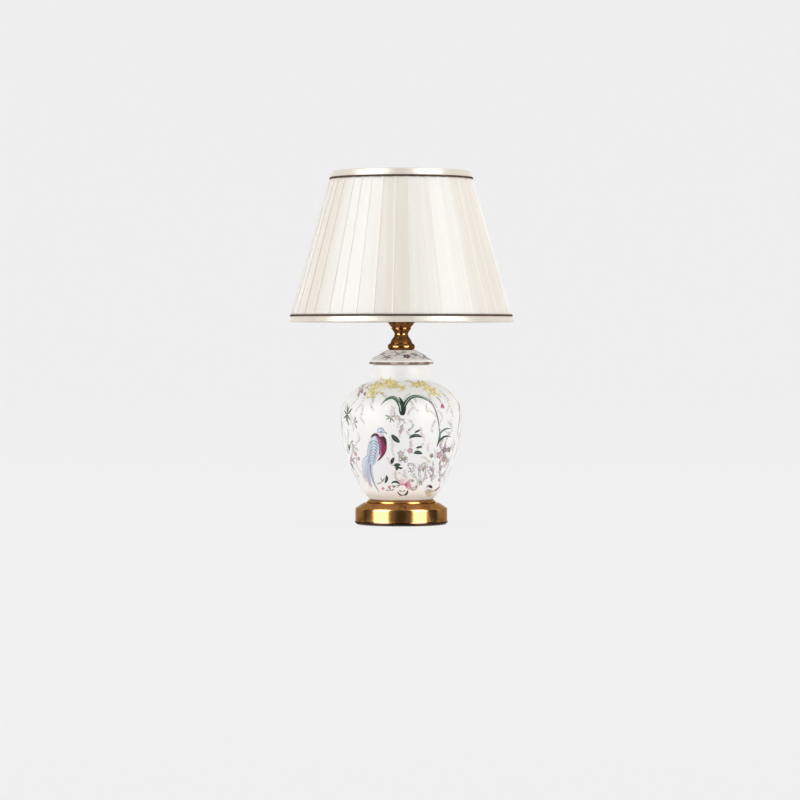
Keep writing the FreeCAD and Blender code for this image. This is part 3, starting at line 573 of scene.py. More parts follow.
# %% Felt
def felt_finish():
    """Pressed wool: short fibres in all directions."""
    made = Finish("green_black_felt", (0.02, 0.017, 0.014), Roughness=1.0, Sheen_Weight=0.3)
    x, y, z = made.split(made.place())
    fibres = made.noise(1400, 5, 0.7, at=(x, y, z * 3))
    return made.done(fibres, 4e-4, Base_Color=made.mix(fibres, (0.012, 0.010, 0.008), (0.05, 0.042, 0.034)))


def felt(radius=59.7, thick=3.0):
    """Turned disc whose radius is its own size less a small sum of waves around the axis."""
    path = resampled(rounded([(0, 0), (radius, 0, 0.6), (radius, thick), (0, thick)]), 3.0)
    grid = turned_grid(path, 240)
    a = circle(240)
    uneven = 0.5 + 0.2 * np.sin(17 * a) + 0.2 * np.sin(41 * a + 1) + 0.1 * np.sin(67 * a + 2)
    grid[..., :2] *= (1 - uneven * 0.25 / radius)[..., None]
    return surface("felt", grid, felt_finish())


pad = place(felt(), "stand", "felt", "felt_pad")

# %% [markdown]
# ## The jar
#
# Thrown and glazed porcelain. The outer side is one smooth curve through a few knots,
# the inner side is the same curve moved inward along its normals, and the mouth is rounded.

# %% Jar shape
FOOT_Z, MOUTH_Z, BELLY_R, WALL = 33.6, 212.0, 80.2, 4.5
JAR_KNOTS = np.array([(0.526, 0.0), (0.656, 0.07), (0.753, 0.15), (0.868, 0.26), (0.951, 0.38), (1.0, 0.585),
                      (0.969, 0.695), (0.801, 0.80), (0.648, 0.851), (0.51, 0.884), (0.481, 0.93)])
JAR_SIDE = spline(JAR_KNOTS * [BELLY_R, MOUTH_Z - FOOT_Z] + [0, FOOT_Z], 150)


def moved_in(path, depth):
    """A curve moved to its left by a distance, along its normals."""
    step = np.gradient(path, axis=0)
    normal = np.stack([-step[:, 1], step[:, 0]], 1) / np.hypot(*step.T)[:, None]
    return path + depth * normal


def jar_outline():
    """Side, rounded mouth, inner side, floor and foot, as one closed outline."""
    (foot_r, _), (top_r, top_z) = JAR_SIDE[0], JAR_SIDE[-1]
    mouth = rounded([(top_r, top_z), (38.0, MOUTH_Z, 1.6), (33.5, MOUTH_Z, 1.6), (34.1, top_z)], closed=False)
    floor_z = FOOT_Z + 7.0
    inner = moved_in(JAR_SIDE, WALL)[::-2]
    inner = inner[(inner[:, 1] > floor_z) & (inner[:, 1] < top_z)]
    floor = [(inner[-1, 0], floor_z), (HOLE, floor_z), (HOLE, FOOT_Z), (foot_r - 3, FOOT_Z)]
    return np.concatenate([JAR_SIDE, mouth[1:], inner, floor, JAR_SIDE[:1]])


LID = rounded([(29.6, 205.6), (33.0, 205.6), (33.0, 212.6), (42.6, 212.6, 1.6), (42.6, 217.6, 1.6),
               (19.6, 231.5, 0.8), (HOLE, 231.5), (HOLE, 226.9), (15.0, 226.9), (29.6, 212.6)])
print("points around the jar and the lid:", len(jar_outline()), "and", len(LID))

# %% [markdown]
# ## Glaze
#
# The glaze is clear over a warm white body. It pools very slightly, which gives it long
# soft waves, and it carries a few pin holes. A thin cream wash was sprayed under it on
# the lid. Low on the jar the white is painted cooler and paler, against the warm light
# that the brass throws up there, and the neck, the lid and the lower jar are painted
# paler, as painted light where shade falls. The jar's foot is shaded by the collar and
# takes brassy light from it, so its white is painted darker and cooler there, as painted shade.

# %% Glaze
def rim_line(made, z, ground):
    """A brown line brushed around the lid's rim over the ground, darker and lighter by turns."""
    z = z + 0.0006 * (made.noise(300, 2) - 0.5)
    line = made.ramp(z, 0.2126, 0.2130) * (1 - made.ramp(z, 0.2154, 0.2161))
    along_rim = made.ramp(made.noise(38, 2), 0.38, 0.46)
    return made.mix(0.92 * line, ground, made.mix(along_rim, (0.52, 0.39, 0.31), (0.115, 0.05, 0.025)))


def glaze_finish(name, low, high, wash_and_counter_tint, wash_share=0.6, over=None):
    """White porcelain with a colour under the glaze that fades out between two heights, in metres: cream on
    the lid, and on the jar a painted cooler, paler tint against the warm light from the brass.
    """
    made = Finish(name, (0.86, 0.86, 0.85), Specular_IOR_Level=0.05)
    _, _, z = made.split(made.place())
    cloud = made.noise(22, 4)
    share = made.ramp(z + 0.045 * (cloud - 0.5), low, high)
    # painted light: the white is paler from 175 mm up, on the neck and the lid, and low on the jar, fading
    # out between 44 and 70 mm, where shade falls
    painted_light_ends = 0.8 * (made.ramp(z, 0.175, 0.2) + 1 - made.ramp(z, 0.044, 0.07))
    body = made.mix(0.5 * cloud * (1 - painted_light_ends), (0.885, 0.88, 0.865), (0.86, 0.85, 0.83))
    body = made.mix(painted_light_ends, body, (0.95, 0.95, 0.945))
    # the jar's tint here is painted, cooler and paler against the warm light from the brass; the lid's is its
    # real cream
    washed = made.mix((1 - share) * wash_share, body, made.mix(made.ramp(cloud, 0.35, 0.65), *wash_and_counter_tint))
    # painted shade: below 48 mm the jar's foot goes darker and cooler
    colour = made.mix(1 - made.ramp(z, 0.035, 0.048), washed, (0.62, 0.72, 0.79))
    pin = made.ramp(made.cells(420), 0.03, 0.09)
    return made.done(0.85 * cloud + 0.15 * pin, 1.5e-4, Base_Color=over(made, z, colour) if over else colour,
                     Roughness=0.36 + 0.08 * made.noise(160))


JAR_GLAZE = glaze_finish("jar_glaze", 0.055, 0.135, [(0.91, 0.93, 0.95), (0.92, 0.925, 0.96)])
LID_GLAZE = glaze_finish("lid_glaze", 0.30, 0.40, [(0.95, 0.92, 0.88), (0.95, 0.90, 0.87)], 0.5, rim_line)
place(turned("jar", jar_outline(), JAR_GLAZE, 300), "stand", "vase_glaze", "vase_body")
place(turned("lid", resampled(LID, 1.2), LID_GLAZE, 200), "stand", "lid_glaze", "vase_lid")

# %% [markdown]
# ## The brass neck
#
# Three turned pieces threaded on the rod: a ring, a bell and a waisted spindle, and the
# spun cup that hides the foot of the lampholder. Each side is a smooth curve; a small
# groove is left where two pieces meet, as a real stack of turned parts has.

# %% Neck
def bored(side, edge=0.25):
    """Closed outline of a turned piece with a hole: its side, with small rounded edges, and the hole."""
    (low_r, low_z), (high_r, high_z) = side[0], side[-1]
    return rounded([(HOLE, low_z), (low_r, low_z, edge), *map(tuple, side[2:-2]), (high_r, high_z, edge),
                    (HOLE, high_z)], 4)


RING = bored(spline([(15.8, 231.5), (17.4, 233.4), (18.2, 235.9), (17.4, 238.5), (15.3, 240.3)], 30))
BELL = bored(spline([(14.8, 240.3), (13.5, 243.8), (11.5, 247.3)], 22))
WAIST = bored(spline([(11.2, 247.3), (9.3, 250.8), (9.1, 253.6), (10.9, 256.6), (12.3, 259.0)], 36))
CUP_SIDE = spline(np.array([(0.585, 0), (0.69, 0.16), (0.869, 0.5), (0.963, 0.8), (1, 1)])
                  * [21.4, 15.7] + [0, 261.3], 40)
CUP_INSIDE = moved_in(CUP_SIDE, 1.2)[::-1]
CUP_FOOT = rounded([(HOLE, 259.0), (12.2, 259.0), (13.3, 259.4, 0.5), (13.3, 260.6, 0.5)], closed=False)
CUP = np.concatenate([CUP_FOOT, CUP_SIDE, CUP_INSIDE[CUP_INSIDE[:, 1] > 262.9],
                      [(12.0, 262.7), (HOLE, 262.7), (HOLE, 259.0)]])
for name, path, node in [("ring", RING, "neck_ring"), ("bell", BELL, "neck_bell"),
                         ("waist", WAIST, "neck_waist"), ("cup", CUP, "holder_cup")]:
    place(turned(name, resampled(path, 0.8), NECK_BRASS, 128), "stand", "antique_brass", node)

# %% [markdown]
# ## The pleated cloth
#
# A strip of silky cloth is folded into forty knife pleats and glued to the stiff lining. In a
# section across one pleat the cloth runs under the pleat before, comes out, rises across
# the part that shows, folds back at the crest and returns underneath. The strip is as
# wide as its pleats need at the lower edge; at the upper edge the same cloth overlaps more.

# %% Pleats
BOTTOM_Z, TOP_Z, BOTTOM_R, TOP_R = 268.3, 469.4, 150.0, 92.0
PLEATS = 40
SEEN_FOLDS = (-59.9, -50.8, -40.1, -32.1, -23.4, -14.1, -4.1, 5.5, 13.8, 21.5, 30.9, 39.6, 50.5)


def cone(z):
    """Outer radius of the shade at a height, in mm."""
    return BOTTOM_R + (TOP_R - BOTTOM_R) * (z - BOTTOM_Z) / (TOP_Z - BOTTOM_Z)


def waves(seed, count, *fields):
    """Smooth random sum of sines of the given fields, about -1 to 1; each field is an array in turns."""
    rng = np.random.default_rng(seed)
    return sum(np.sin(sum(f * rng.uniform(-1, 1) * TURN for f in fields) + rng.uniform(0, TURN))
               for _ in range(count)) / count ** 0.5


def crest_angles(rng):
    """Angle of each pleat's crest, in radians: those in front as set, the rest evenly with small errors."""
    front = np.radians(np.array(SEEN_FOLDS) - 90)
    rest = PLEATS - len(front)
    back = np.linspace(front[-1], front[0] + TURN, rest + 2)[1:-1]
    return np.concatenate([front, back + np.radians(rng.uniform(-0.7, 0.7, rest))])


def pleated_cloth(low=277.3, high=459.3, rows=46, cloth_w=27.6):
    """Grid of the pleated strip.

    Along a pleat's section s is the place around the shade, in mm from the crest before it,
    and d the depth below the cone; both are straight lines between a few stations whose
    places depend on the pleat's width w at that height and on the overlap v = (cloth_w - w) / 2."""
    rng = np.random.default_rng(7)
    crest = crest_angles(rng)
    before = np.roll(crest, 1)
    before[0] -= TURN
    z = np.linspace(low, high, rows)
    radius = cone(z)
    w = (crest - before)[:, None] * radius
    v = np.maximum(1.2, (cloth_w - w) / 2)
    pleat = np.arange(PLEATS)[:, None]
    full = np.sin(np.linspace(0, TURN / 2, rows)) ** 0.45
    proud = full * (0.14 + rng.uniform(-0.1, 0.1, (PLEATS, 1)))
    lift = rng.uniform(-0.10, 0.14, (PLEATS, 1)) + 0.06 * waves(3, 3, pleat * 0.37, z / 90)
    sag = w**2 / (8 * radius)
    x = np.array([0.06, 0.16, 0.28, 0.41, 0.54, 0.67, 0.79, 0.87, 0.92, 0.955, 0.975])
    belly = 0.14 * waves(5, 5, pleat[..., None] * 0.61, (z / 160)[:, None], x * 3.0)
    wide = w[..., None]
    roll = 0.30 * np.exp(-((1 - x) * wide / 1.3) ** 2)
    face_d = (0.80 - 0.29 * x + 4 * sag[..., None] * x * (1 - x)
              + (lift[..., None] + belly) * 4 * x * (1 - x) - roll)
    under = [(-v, 2.05), (-0.6 * v, 1.95), (-0.2 * v, 1.45), (-0.25, 0.95), (0.35, 0.83)]
    back = [(w - 0.35, 0.26), (w - 0.10, 0.24), (w + 0.05, 0.32), (w + 0.06, 0.46), (w - 0.08, 0.58),
            (w - 0.4, 0.66), (w - 0.45 * v, 1.05), (w - 0.9 * v, 1.45), (w - v - 0.12, 1.55),
            (w - v - 0.22, 1.8)]
    one = np.ones_like(w)
    (under_s, under_d), (back_s, back_d) = [
        [np.stack([value * one for value in part], -1) for part in zip(*line)] for line in (under, back)]
    s = np.concatenate([under_s, wide * x, back_s], -1)
    d = np.concatenate([under_d, face_d, back_d], -1)
    d = d - proud[..., None] * np.clip((wide + s - 2 * v[..., None]) / (2 * wide), 0, 1) * (d < 1.9)
    a = before[:, None, None] + s / radius[:, None]
    points = around((radius[:, None] - d) * MM, a, z[:, None] * MM)
    across = along(np.array([np.median(s, (0, 1)), np.median(d, (0, 1))]).T)
    u = (pleat[..., None] * cloth_w + across) * MM + 0 * a
    slant = (z - low)[:, None] * MM * 1.04 + 0 * a
    strip = points.transpose(1, 0, 2, 3).reshape(rows, -1, 3)
    uv = np.stack([u, slant], -1).transpose(1, 0, 2, 3).reshape(rows, -1, 2)
    strip, uv = np.concatenate([strip, strip[:, :1]], 1), np.concatenate([uv, uv[:, -1:] + [0.001, 0]], 1)
    return strip, uv, across[[len(under) - 1, len(under) + len(x)]] * MM


print("pleats:", PLEATS, "in all,", len(SEEN_FOLDS), "with crests as in the picture")

# %% [markdown]
# ## Cloth
#
# The weave follows the strip's own uv, in metres, so it turns with every fold. Warp and
# weft are two fine waves whose threads are thick and thin by turns. Each pleat has its
# own tone with soft streaks down its length, and painted light and shade make the tone
# lighter and darker in broad zones around the axis. Painted shade darkens each pleat where
# it leaves the fold before it, and a painted highlight lightens its crest.

# %% Cloth finishes
PLEAT_CLOTH = 0.0276


def woven(made, u, v, threads, uneven=0.35):
    """Plain weave: the higher of two crossing rounded waves, each uneven along its threads."""
    half = TURN / 2 * threads
    wobble = 2 * made.noise(12, at=(u * 60, v * 9))
    warp, weft = [made.maths("ABSOLUTE", made.maths("SINE", way * half + wobble)) for way in (u, v)]
    thick = made.noise(1, 2, at=(u * threads, v * 14))
    thin = made.noise(1, 2, at=(u * 14, v * threads, 3))
    return made.maths("MAXIMUM", warp * (1 - uneven * thick), weft * (1 - uneven * thin)), thick, thin


def cloth_finish(face_start, face_end):
    """Ivory silky cloth on the strip's own uv; the part that shows runs from face_start to face_end."""
    made = Finish("ivory_cloth", (0.78, 0.73, 0.66), Sheen_Weight=0.45, Sheen_Roughness=0.4,
                  Specular_IOR_Level=0.05)
    u, v = made.uv()
    weave, thick, thin = woven(made, u, v, 2300.0)
    pleat = made.maths("FLOOR", u / PLEAT_CLOTH)
    across = u - PLEAT_CLOTH * pleat
    own = made.noise(1, 0, at=(pleat * 7.3, 0))
    streak = made.noise(1, at=(u * 420, v * 5))
    broad = made.noise(1, 2, at=(u * 90, v * 4, 5))
    x, y, _ = made.split(made.place())
    # painted light and shade: the tone turns lighter and darker six times around the axis
    painted_light_zones = made.maths("COSINE", 6.0 * made.maths("ARCTAN2", x, y))
    tone = made.mix(made.ramp(0.4 * own + 0.25 * streak + 0.3 * broad + 0.11 * painted_light_zones, 0.33, 0.68),
                    (0.80, 0.78, 0.745), (0.73, 0.67, 0.60))
    # painted shade: each pleat is darker just where it comes out from under the fold before it
    painted_fold_shade = 1 - made.ramp(across, face_start - 0.0002, face_start + 0.0016)
    # painted highlight: each pleat is lighter and creamier along its crest
    crest = made.ramp(across, face_end - 0.0012, face_end - 0.0002)
    tone = made.mix(0.1 * painted_fold_shade, tone, (0.52, 0.46, 0.40))
    return made.done(0.6 * weave + 0.6 * streak, 8e-5, Roughness=0.36 + 0.10 * weave + 0.06 * thin,
                     Base_Color=made.mix(0.65 * crest + 0.1 * thick, tone, (0.90, 0.85, 0.755)))


def satin_finish():
    """Cream satin ribbon: long glossy threads along its length, so that gloss spreads across it."""
    made = Finish("cream_satin", (0.66, 0.60, 0.53), Anisotropic=0.7, Anisotropic_Rotation=0.25,
                  Sheen_Weight=0.1, Specular_IOR_Level=0.26)
    u, v = made.uv()
    thread = made.noise(1, 2, at=(u * 60, v * 5200))
    slow = made.noise(1, at=(u * 40, v * 60))
    tone = made.mix(0.5 * slow + 0.3 * thread, (0.74, 0.69, 0.62), (0.54, 0.46, 0.37))
    return made.done(0.6 * thread + 0.4 * slow, 3e-5, Base_Color=tone,
                     Roughness=0.28 + 0.14 * thread + 0.06 * slow)


def cord_finish():
    """Dark twisted cotton: its fibres run along the strands."""
    made = Finish("dark_cord", (0.03, 0.015, 0.008), Roughness=0.8, Specular_IOR_Level=0.1)
    u, v = made.uv()
    fibre = made.noise(1, at=(u * 900, v * 3000))
    return made.done(fibre, 1e-4, Base_Color=made.mix(fibre, (0.020, 0.009, 0.004), (0.052, 0.025, 0.012)))


def lining_finish():
    """Off-white laminated sheet, faintly mottled."""
    made = Finish("off_white_lining", (0.80, 0.77, 0.70))
    cloud = made.noise(30, 4)
    grain = made.noise(1500, 2)
    mottle = made.mix(0.6 * cloud + 0.4 * grain, (0.84, 0.81, 0.75), (0.75, 0.71, 0.63))
    return made.done(grain, 2e-5, Base_Color=mottle, Roughness=0.42 + 0.14 * grain)


strip, strip_uv, face = pleated_cloth()
cloth = surface("pleated_cloth", strip, cloth_finish(*map(float, face)), uv=strip_uv, flip=True)
thick = cloth.modifiers.new("cloth_thickness", "SOLIDIFY")
thick.thickness, thick.offset = 0.2 * MM, 0.0
place(cloth, "shade", "pleated_cloth", "shade_cover")

# %% [markdown]
# ## Lining
#
# The lining is a stiff laminated sheet rolled into a cone. Its section is a thin plain
# rectangle, so it is turned like the brass.

# %% Lining
def cone_section(points):
    """Outline given as (depth below the cone, height) made into (radius, height)."""
    points = np.asarray(points, float)
    return np.stack([cone(points[:, 1]) - points[:, 0], points[:, 1]], 1)


LINER = cone_section([(3.2, 269.1), (2.6, 269.1), (2.6, 468.6), (3.2, 468.6), (3.2, 269.1)])
lining = turned("lining", resampled(LINER, 9.0), lining_finish(), 240)
place(lining, "shade", "liner_sheet", "shade_liner")

# %% [markdown]
# ## Bands
#
# Each band is a satin ribbon folded over the wire ring of an edge. It is drawn a little
# unevenly, so a sum of waves around the axis gives its face shallow puckers.

# %% Bands
SATIN = satin_finish()


def ribbon(name, edge, hem, side, seed):
    """Ribbon folded over an edge: a closed section carried around, its face moved by shallow waves.

    side is 1 where the ribbon goes up from the edge and -1 where it goes down."""
    t, h, steps = 0.45, abs(hem - edge), 360
    section = [(0.62, h), (0.24, h - 0.5), (0.06, h * 0.62), (0.05, h * 0.36), (0.18, 1.4), (0.62, 0.45),
               (1.5, 0.05), (3.6, 0.0), (5.8, 0.05), (6.7, 0.45), (7.05, 1.4), (7.15, h * 0.5),
               (7.1, h - 0.6), (7.1 - t, h - 0.6), (7.15 - t, h * 0.5), (6.6, 1.5), (6.3, 0.8), (5.6, 0.5),
               (3.6, 0.45), (1.6, 0.5), (0.95, 0.8), (0.55 + t, 1.5), (0.42 + t, h * 0.5), (0.42 + t, h),
               (0.62, h)]
    depth, up = np.array(section).T
    path = resampled(cone_section(np.stack([depth, edge + side * up], 1))[::side], 0.9)
    a = circle(steps)
    grid = turned_grid(path, steps)
    rng = np.random.default_rng(seed)
    count = rng.integers(9, 120, 9)
    phase, lean = rng.uniform(0, TURN, 9), rng.uniform(-0.4, 0.4, 9)
    swell = np.sin(count * a[..., None] + phase + lean * (path[:, 1, None] - edge)).sum(-1) / 9 ** 0.5
    outside = np.clip((2.0 - (cone(path[:, 1]) - path[:, 0])) / 2, 0, 1)
    inward = (0.03 + 0.03 * swell) * outside * MM / np.hypot(grid[..., 0], grid[..., 1])
    grid[..., :2] *= (1 - inward)[..., None]
    uv = np.stack([a * BOTTOM_R * MM + 0 * path[:, 0], along(path) * MM + 0 * a], -1)
    return surface(name, grid, SATIN, uv=uv)


low_band = place(ribbon("lower_band", BOTTOM_Z, 276.5, 1, 11), "shade", "satin_band", "shade_bottom_band")
top_band = place(ribbon("upper_band", TOP_Z, 460.1, -1, 12), "shade", "satin_band", "shade_top_band")

# %% [markdown]
# ## Piping
#
# A thin twisted cord hides the joint between band and cloth. A tube with three lobes
# that turn along it looks like three strands and stays one closed surface.

# %% Piping
CORD = cord_finish()


def piping(name, z, turns, radius=1.5, depth=0.75):
    """Three strands laid into a cord: the tube's radius has three lobes that turn along it."""
    a = circle(turns * 8)
    b = np.linspace(0, TURN, 13)
    twist = b + turns * a / 3 * 2
    tube = radius * (0.86 + 0.14 * np.abs(np.cos(1.5 * twist)) ** 0.7)
    points = around(cone(z) - depth + tube * np.cos(b), a, z + tube * np.sin(b)) * MM
    return surface(name, points, CORD, uv=np.stack([a * cone(z) * MM + 0 * b, twist * radius * MM], -1))


place(piping("lower_piping", 277.2, 240), "shade", "dark_piping", "shade_bottom_piping")
place(piping("upper_piping", 459.4, 150), "shade", "dark_piping", "shade_top_piping")

# %% [markdown]
# ## The painting on the jar
#
# Enamel is laid over the glaze stroke by stroke and stands up a tenth of a millimetre or
# two. Each brush stroke is a thin closed blade along a bent line, drawn flat and then
# wrapped onto the side of the jar: across on the arc, up by height. The picture is the
# old garden subject of such jars: a long-tailed bird, arching leaves, blossoms and
# sprigs, under garlands on the shoulder.

# %% Brush strokes
RIM_ACROSS = np.array([-1, -0.5, 0.5, 1, 0, -1])
RIM_UP = np.array([0, 0.9, 0.9, 0, -0.3, 0])
SHORT_ROWS, LONG_ROWS, LONG = 7, 30, 14


def linear(red, green, blue):
    """Linear colour from the three numbers of a screen colour, 0 to 255."""
    c = np.array([red, green, blue]) / 255
    return np.where(c < 0.04045, c / 12.92, ((c + 0.055) / 1.055) ** 2.4)


class Brush:
    """Collects strokes; each is a start, a bend, an end, a width, two colours and a form.

    turn is the angle around the axis, in radians, at which x is 0 on the page; roll throws a dice."""

    def __init__(self, seed):
        self.rng, self.strokes, self.turn = np.random.default_rng(seed), [], 0.0
        self.roll = self.rng.uniform

    def stroke(self, start, bend, end, width, colour, tip=None, form=0.8, lean=1.0, height=0.16, edge=0.25):
        """form below 1 has rounder ends; lean below 1 puts the widest place nearer the start."""
        shade = 1 + self.roll(-0.12, 0.12)
        colours = [c * shade for c in (*colour, *(colour if tip is None else tip))]
        self.strokes.append((*start, *bend, *end, width, *colours, form, lean, height, edge, self.turn))

    def leaf(self, x, z, angle, length, width, colour, tip=None, bow=0.15, **form):
        """Stroke from a foot, in a direction in degrees, bowed to its left by a share of its length."""
        a = math.radians(angle)
        along_x, along_z = math.cos(a) * length, math.sin(a) * length
        bend = (x + along_x / 2 - along_z * bow, z + along_z / 2 + along_x * bow)
        self.stroke((x, z), bend, (x + along_x, z + along_z), width, colour, tip, **form)

    def dot(self, x, z, size, colour, **form):
        """Round touch of the brush."""
        self.leaf(x - size / 2, z, 0, size, size, colour, bow=0, form=0.5, **form)

    def table(self, x, z, m, rows):
        """Strokes given relative to a place; m is -1 to mirror them."""
        for start, bend, end, width, colour, tip, form, lean, height in rows:
            ends = [(x + m * p[0], z + p[1]) for p in (start, bend, end)]
            self.stroke(*ends, width, colour, tip, form=form, lean=lean, height=height)


def tried(recipe, *values):
    """Number of strokes that a recipe lays, tried with a brush of its own."""
    brush = Brush(0)
    recipe(brush, *values)
    return len(brush.strokes)


print("middle grey of a screen, in linear light:", linear(128, 128, 128).round(3))

# %% [markdown]
# ## From the page onto the jar
#
# All strokes of a page are worked out at once. Across on the page is measured on the
# arc around the axis and up is height, so that a flower keeps its shape on the curve.

# %% Strokes as surfaces
def stroke_grids(k, rows, side, at):
    """Strokes as a stack of grids on a side of (radius, height) points; at is the page height of each point.

    A stroke's line is the quadratic curve of its three points, its width is the sine of
    the way along it to a power, and its section is a low dome closed underneath. Across
    on the page becomes the arc around the axis."""
    k = k[:, :, None, None]
    t = np.linspace(0, 1, rows)[None, :, None]
    x = (1 - t)**2 * k[:, 0] + 2 * t * (1 - t) * k[:, 2] + t**2 * k[:, 4]
    z = (1 - t)**2 * k[:, 1] + 2 * t * (1 - t) * k[:, 3] + t**2 * k[:, 5]
    run_x = 2 * (1 - t) * (k[:, 2] - k[:, 0]) + 2 * t * (k[:, 4] - k[:, 2])
    run_z = 2 * (1 - t) * (k[:, 3] - k[:, 1]) + 2 * t * (k[:, 5] - k[:, 3])
    size = np.hypot(run_x, run_z) + 1e-9
    swell = np.clip(np.sin(TURN / 2 * t ** k[:, 14]), 0, 1) ** k[:, 13]
    swell[:, [0, -1]] = 0
    x = x - run_z / size * k[:, 6] / 2 * swell * RIM_ACROSS
    z = z + run_x / size * k[:, 6] / 2 * swell * RIM_ACROSS
    up = k[:, 15] * np.sqrt(swell) * RIM_UP + 0.02
    r, height = np.interp(z, at, side[:, 0]), np.interp(z, at, side[:, 1])
    slope_r, slope_z = np.gradient(side[:, 0], at), np.gradient(side[:, 1], at)
    out_r, out_z = np.interp(z, at, slope_z), -np.interp(z, at, slope_r)
    unit = np.hypot(out_r, out_z)
    a = x / r + k[:, 17] - TURN / 4
    radius = r + up * out_r / unit
    points = around(radius, a, height + up * out_z / unit) * MM
    rim = 1 - k[:, 16] * np.abs(RIM_ACROSS) ** 3
    tint = [(k[:, 7 + c] * (1 - t) + k[:, 10 + c] * t) * rim for c in range(3)]
    return points, np.stack(tint, -1)


def paint(name, brush, side, at, slot):
    """Puts the strokes of a brush on a side: short ones as one piece and long ones as another."""
    k = np.array(brush.strokes)
    reach = np.hypot(k[:, 4] - k[:, 0], k[:, 5] - k[:, 1])
    short = reach < LONG
    for word, rows, part in (("touches", SHORT_ROWS, k[short]), ("lines", LONG_ROWS, k[~short])):
        if len(part):
            points, tint = stroke_grids(part, rows, side, at)
            place(surface(f"{name}_{word}", points, ENAMEL, tint=tint), "stand", slot)
            print(len(part), "strokes")


print("faces of a stroke:", [(rows - 1) * (len(RIM_ACROSS) - 1) for rows in (SHORT_ROWS, LONG_ROWS)])

# %% [markdown]
# ## Enamel
#
# Overglaze enamel is ground glass in a few oxide colours, fired onto the glaze. One
# finish serves all strokes, because each point of the mesh keeps its own colour.

# %% Enamel
def enamel_finish():
    """Glossy overglaze enamel in the colour of each stroke, a little streaky."""
    made = Finish("enamel", (0.3, 0.4, 0.3), Specular_IOR_Level=0.06)
    tint = made.node("ShaderNodeAttribute", {"attribute_name": "tint"}, output="Color")
    streak = made.noise(900)
    return made.done(streak, 3e-5, Base_Color=made.mix(0.05 * streak, tint, (0.78, 0.77, 0.72)),
                     Roughness=0.25 + 0.15 * streak)


ENAMEL = enamel_finish()
BLACK_GREEN, DARK_GREEN, GREEN = linear(2, 16, 9), linear(12, 46, 30), linear(58, 110, 78)
GREY_GREEN, PALE_GREEN, OLIVE = linear(122, 146, 124), linear(188, 216, 192), linear(150, 150, 108)
CRIMSON, PLUM, MAUVE = linear(150, 34, 84), linear(62, 14, 44), linear(158, 122, 150)
PINK, BLUSH, LILAC = linear(222, 120, 150), linear(238, 196, 204), linear(204, 200, 222)
SKY, PERIWINKLE, ICE = linear(188, 204, 228), linear(142, 150, 190), linear(212, 222, 236)
GOLD, STRAW, BROWN = linear(222, 198, 112), linear(240, 226, 158), linear(118, 84, 62)
GREY, WHITE, SAND = linear(146, 142, 136), linear(240, 236, 230), linear(212, 202, 172)
FROST, SLATE, TEAL = linear(220, 226, 234), linear(124, 132, 158), linear(176, 222, 222)
print("finish of all strokes:", ENAMEL.name)

# %% [markdown]
# ## Plants
#
# A few small recipes make all the plants: a fountain of arching leaves from one foot, a
# tuft, a blossom of rounded petals, a sprig with buds, a spray of pointed leaves and a
# garland of curls. Their sizes vary with a seeded dice, so that no two are the same.

# %% Plants
FOUNTAIN = [
    ((-0.5, 0), (-7, 38), (-29.7, 11.5), 4.8, BLACK_GREEN, GREEN, 0.75, 0.62, 0.15),
    ((0.6, 0), (3.2, 15), (-5.0, 23), 4.2, BLACK_GREEN, DARK_GREEN, 0.6, 0.9, 0.19),
    ((0.2, 0), (6, 39.5), (41, 14), 4.8, BLACK_GREEN, GREEN, 0.75, 0.62, 0.17),
    ((24, 25.6), (49, 19.5), (53, -25), 1.9, GREY_GREEN, DARK_GREEN, 0.6, 1.5, 0.15),
    ((-0.6, 3), (-6.0, 33.5), (-25, 17), 1.0, PALE_GREEN, GREY_GREEN, 0.8, 0.8, 0.26),
    ((1.2, 5), (8.0, 36), (36, 17.5), 1.1, PALE_GREEN, GREY_GREEN, 0.8, 0.8, 0.26),
    ((0.2, -1.5), (-1.8, 6), (-3.2, 18), 6.4, BLACK_GREEN, DARK_GREEN, 0.5, 0.7, 0.2),
    ((0.4, -1.5), (2.0, 6), (4.0, 19), 5.6, BLACK_GREEN, BLACK_GREEN, 0.5, 0.7, 0.21),
    ((-1.6, 2), (-2.4, 10), (-6.5, 21), 1.5, PALE_GREEN, GREY_GREEN, 0.7, 1.0, 0.3)]
TUFT = [
    ((3, 10.7), (6.3, 27), (29, 23.2), 2.6, GREY_GREEN, GREEN, 0.7, 0.8, 0.15),
    ((0, 0), (8.2, 18.5), (27.5, 12), 3.0, DARK_GREEN, GREEN, 0.7, 0.8, 0.17),
    ((0, 0), (6.8, 10.7), (4.6, 24.5), 3.4, DARK_GREEN, GREY_GREEN, 0.7, 0.9, 0.18)]


def blossom(brush, x, z, size, outer, inner, start):
    """Five rounded petals around a golden heart, with a few dots in it."""
    for i in range(5):
        brush.leaf(x, z, start + 360 * i / 5, size, size * 0.72, inner, outer, bow=0.06, form=0.55,
                   lean=1.4, edge=0.4)
    brush.dot(x, z, size * 0.34, GOLD, height=0.26)
    for i in range(4):
        a = math.radians(start + 90 * i + 20)
        brush.dot(x + math.cos(a) * size * 0.28, z + math.sin(a) * size * 0.28, size * 0.14, BROWN,
                  height=0.25)


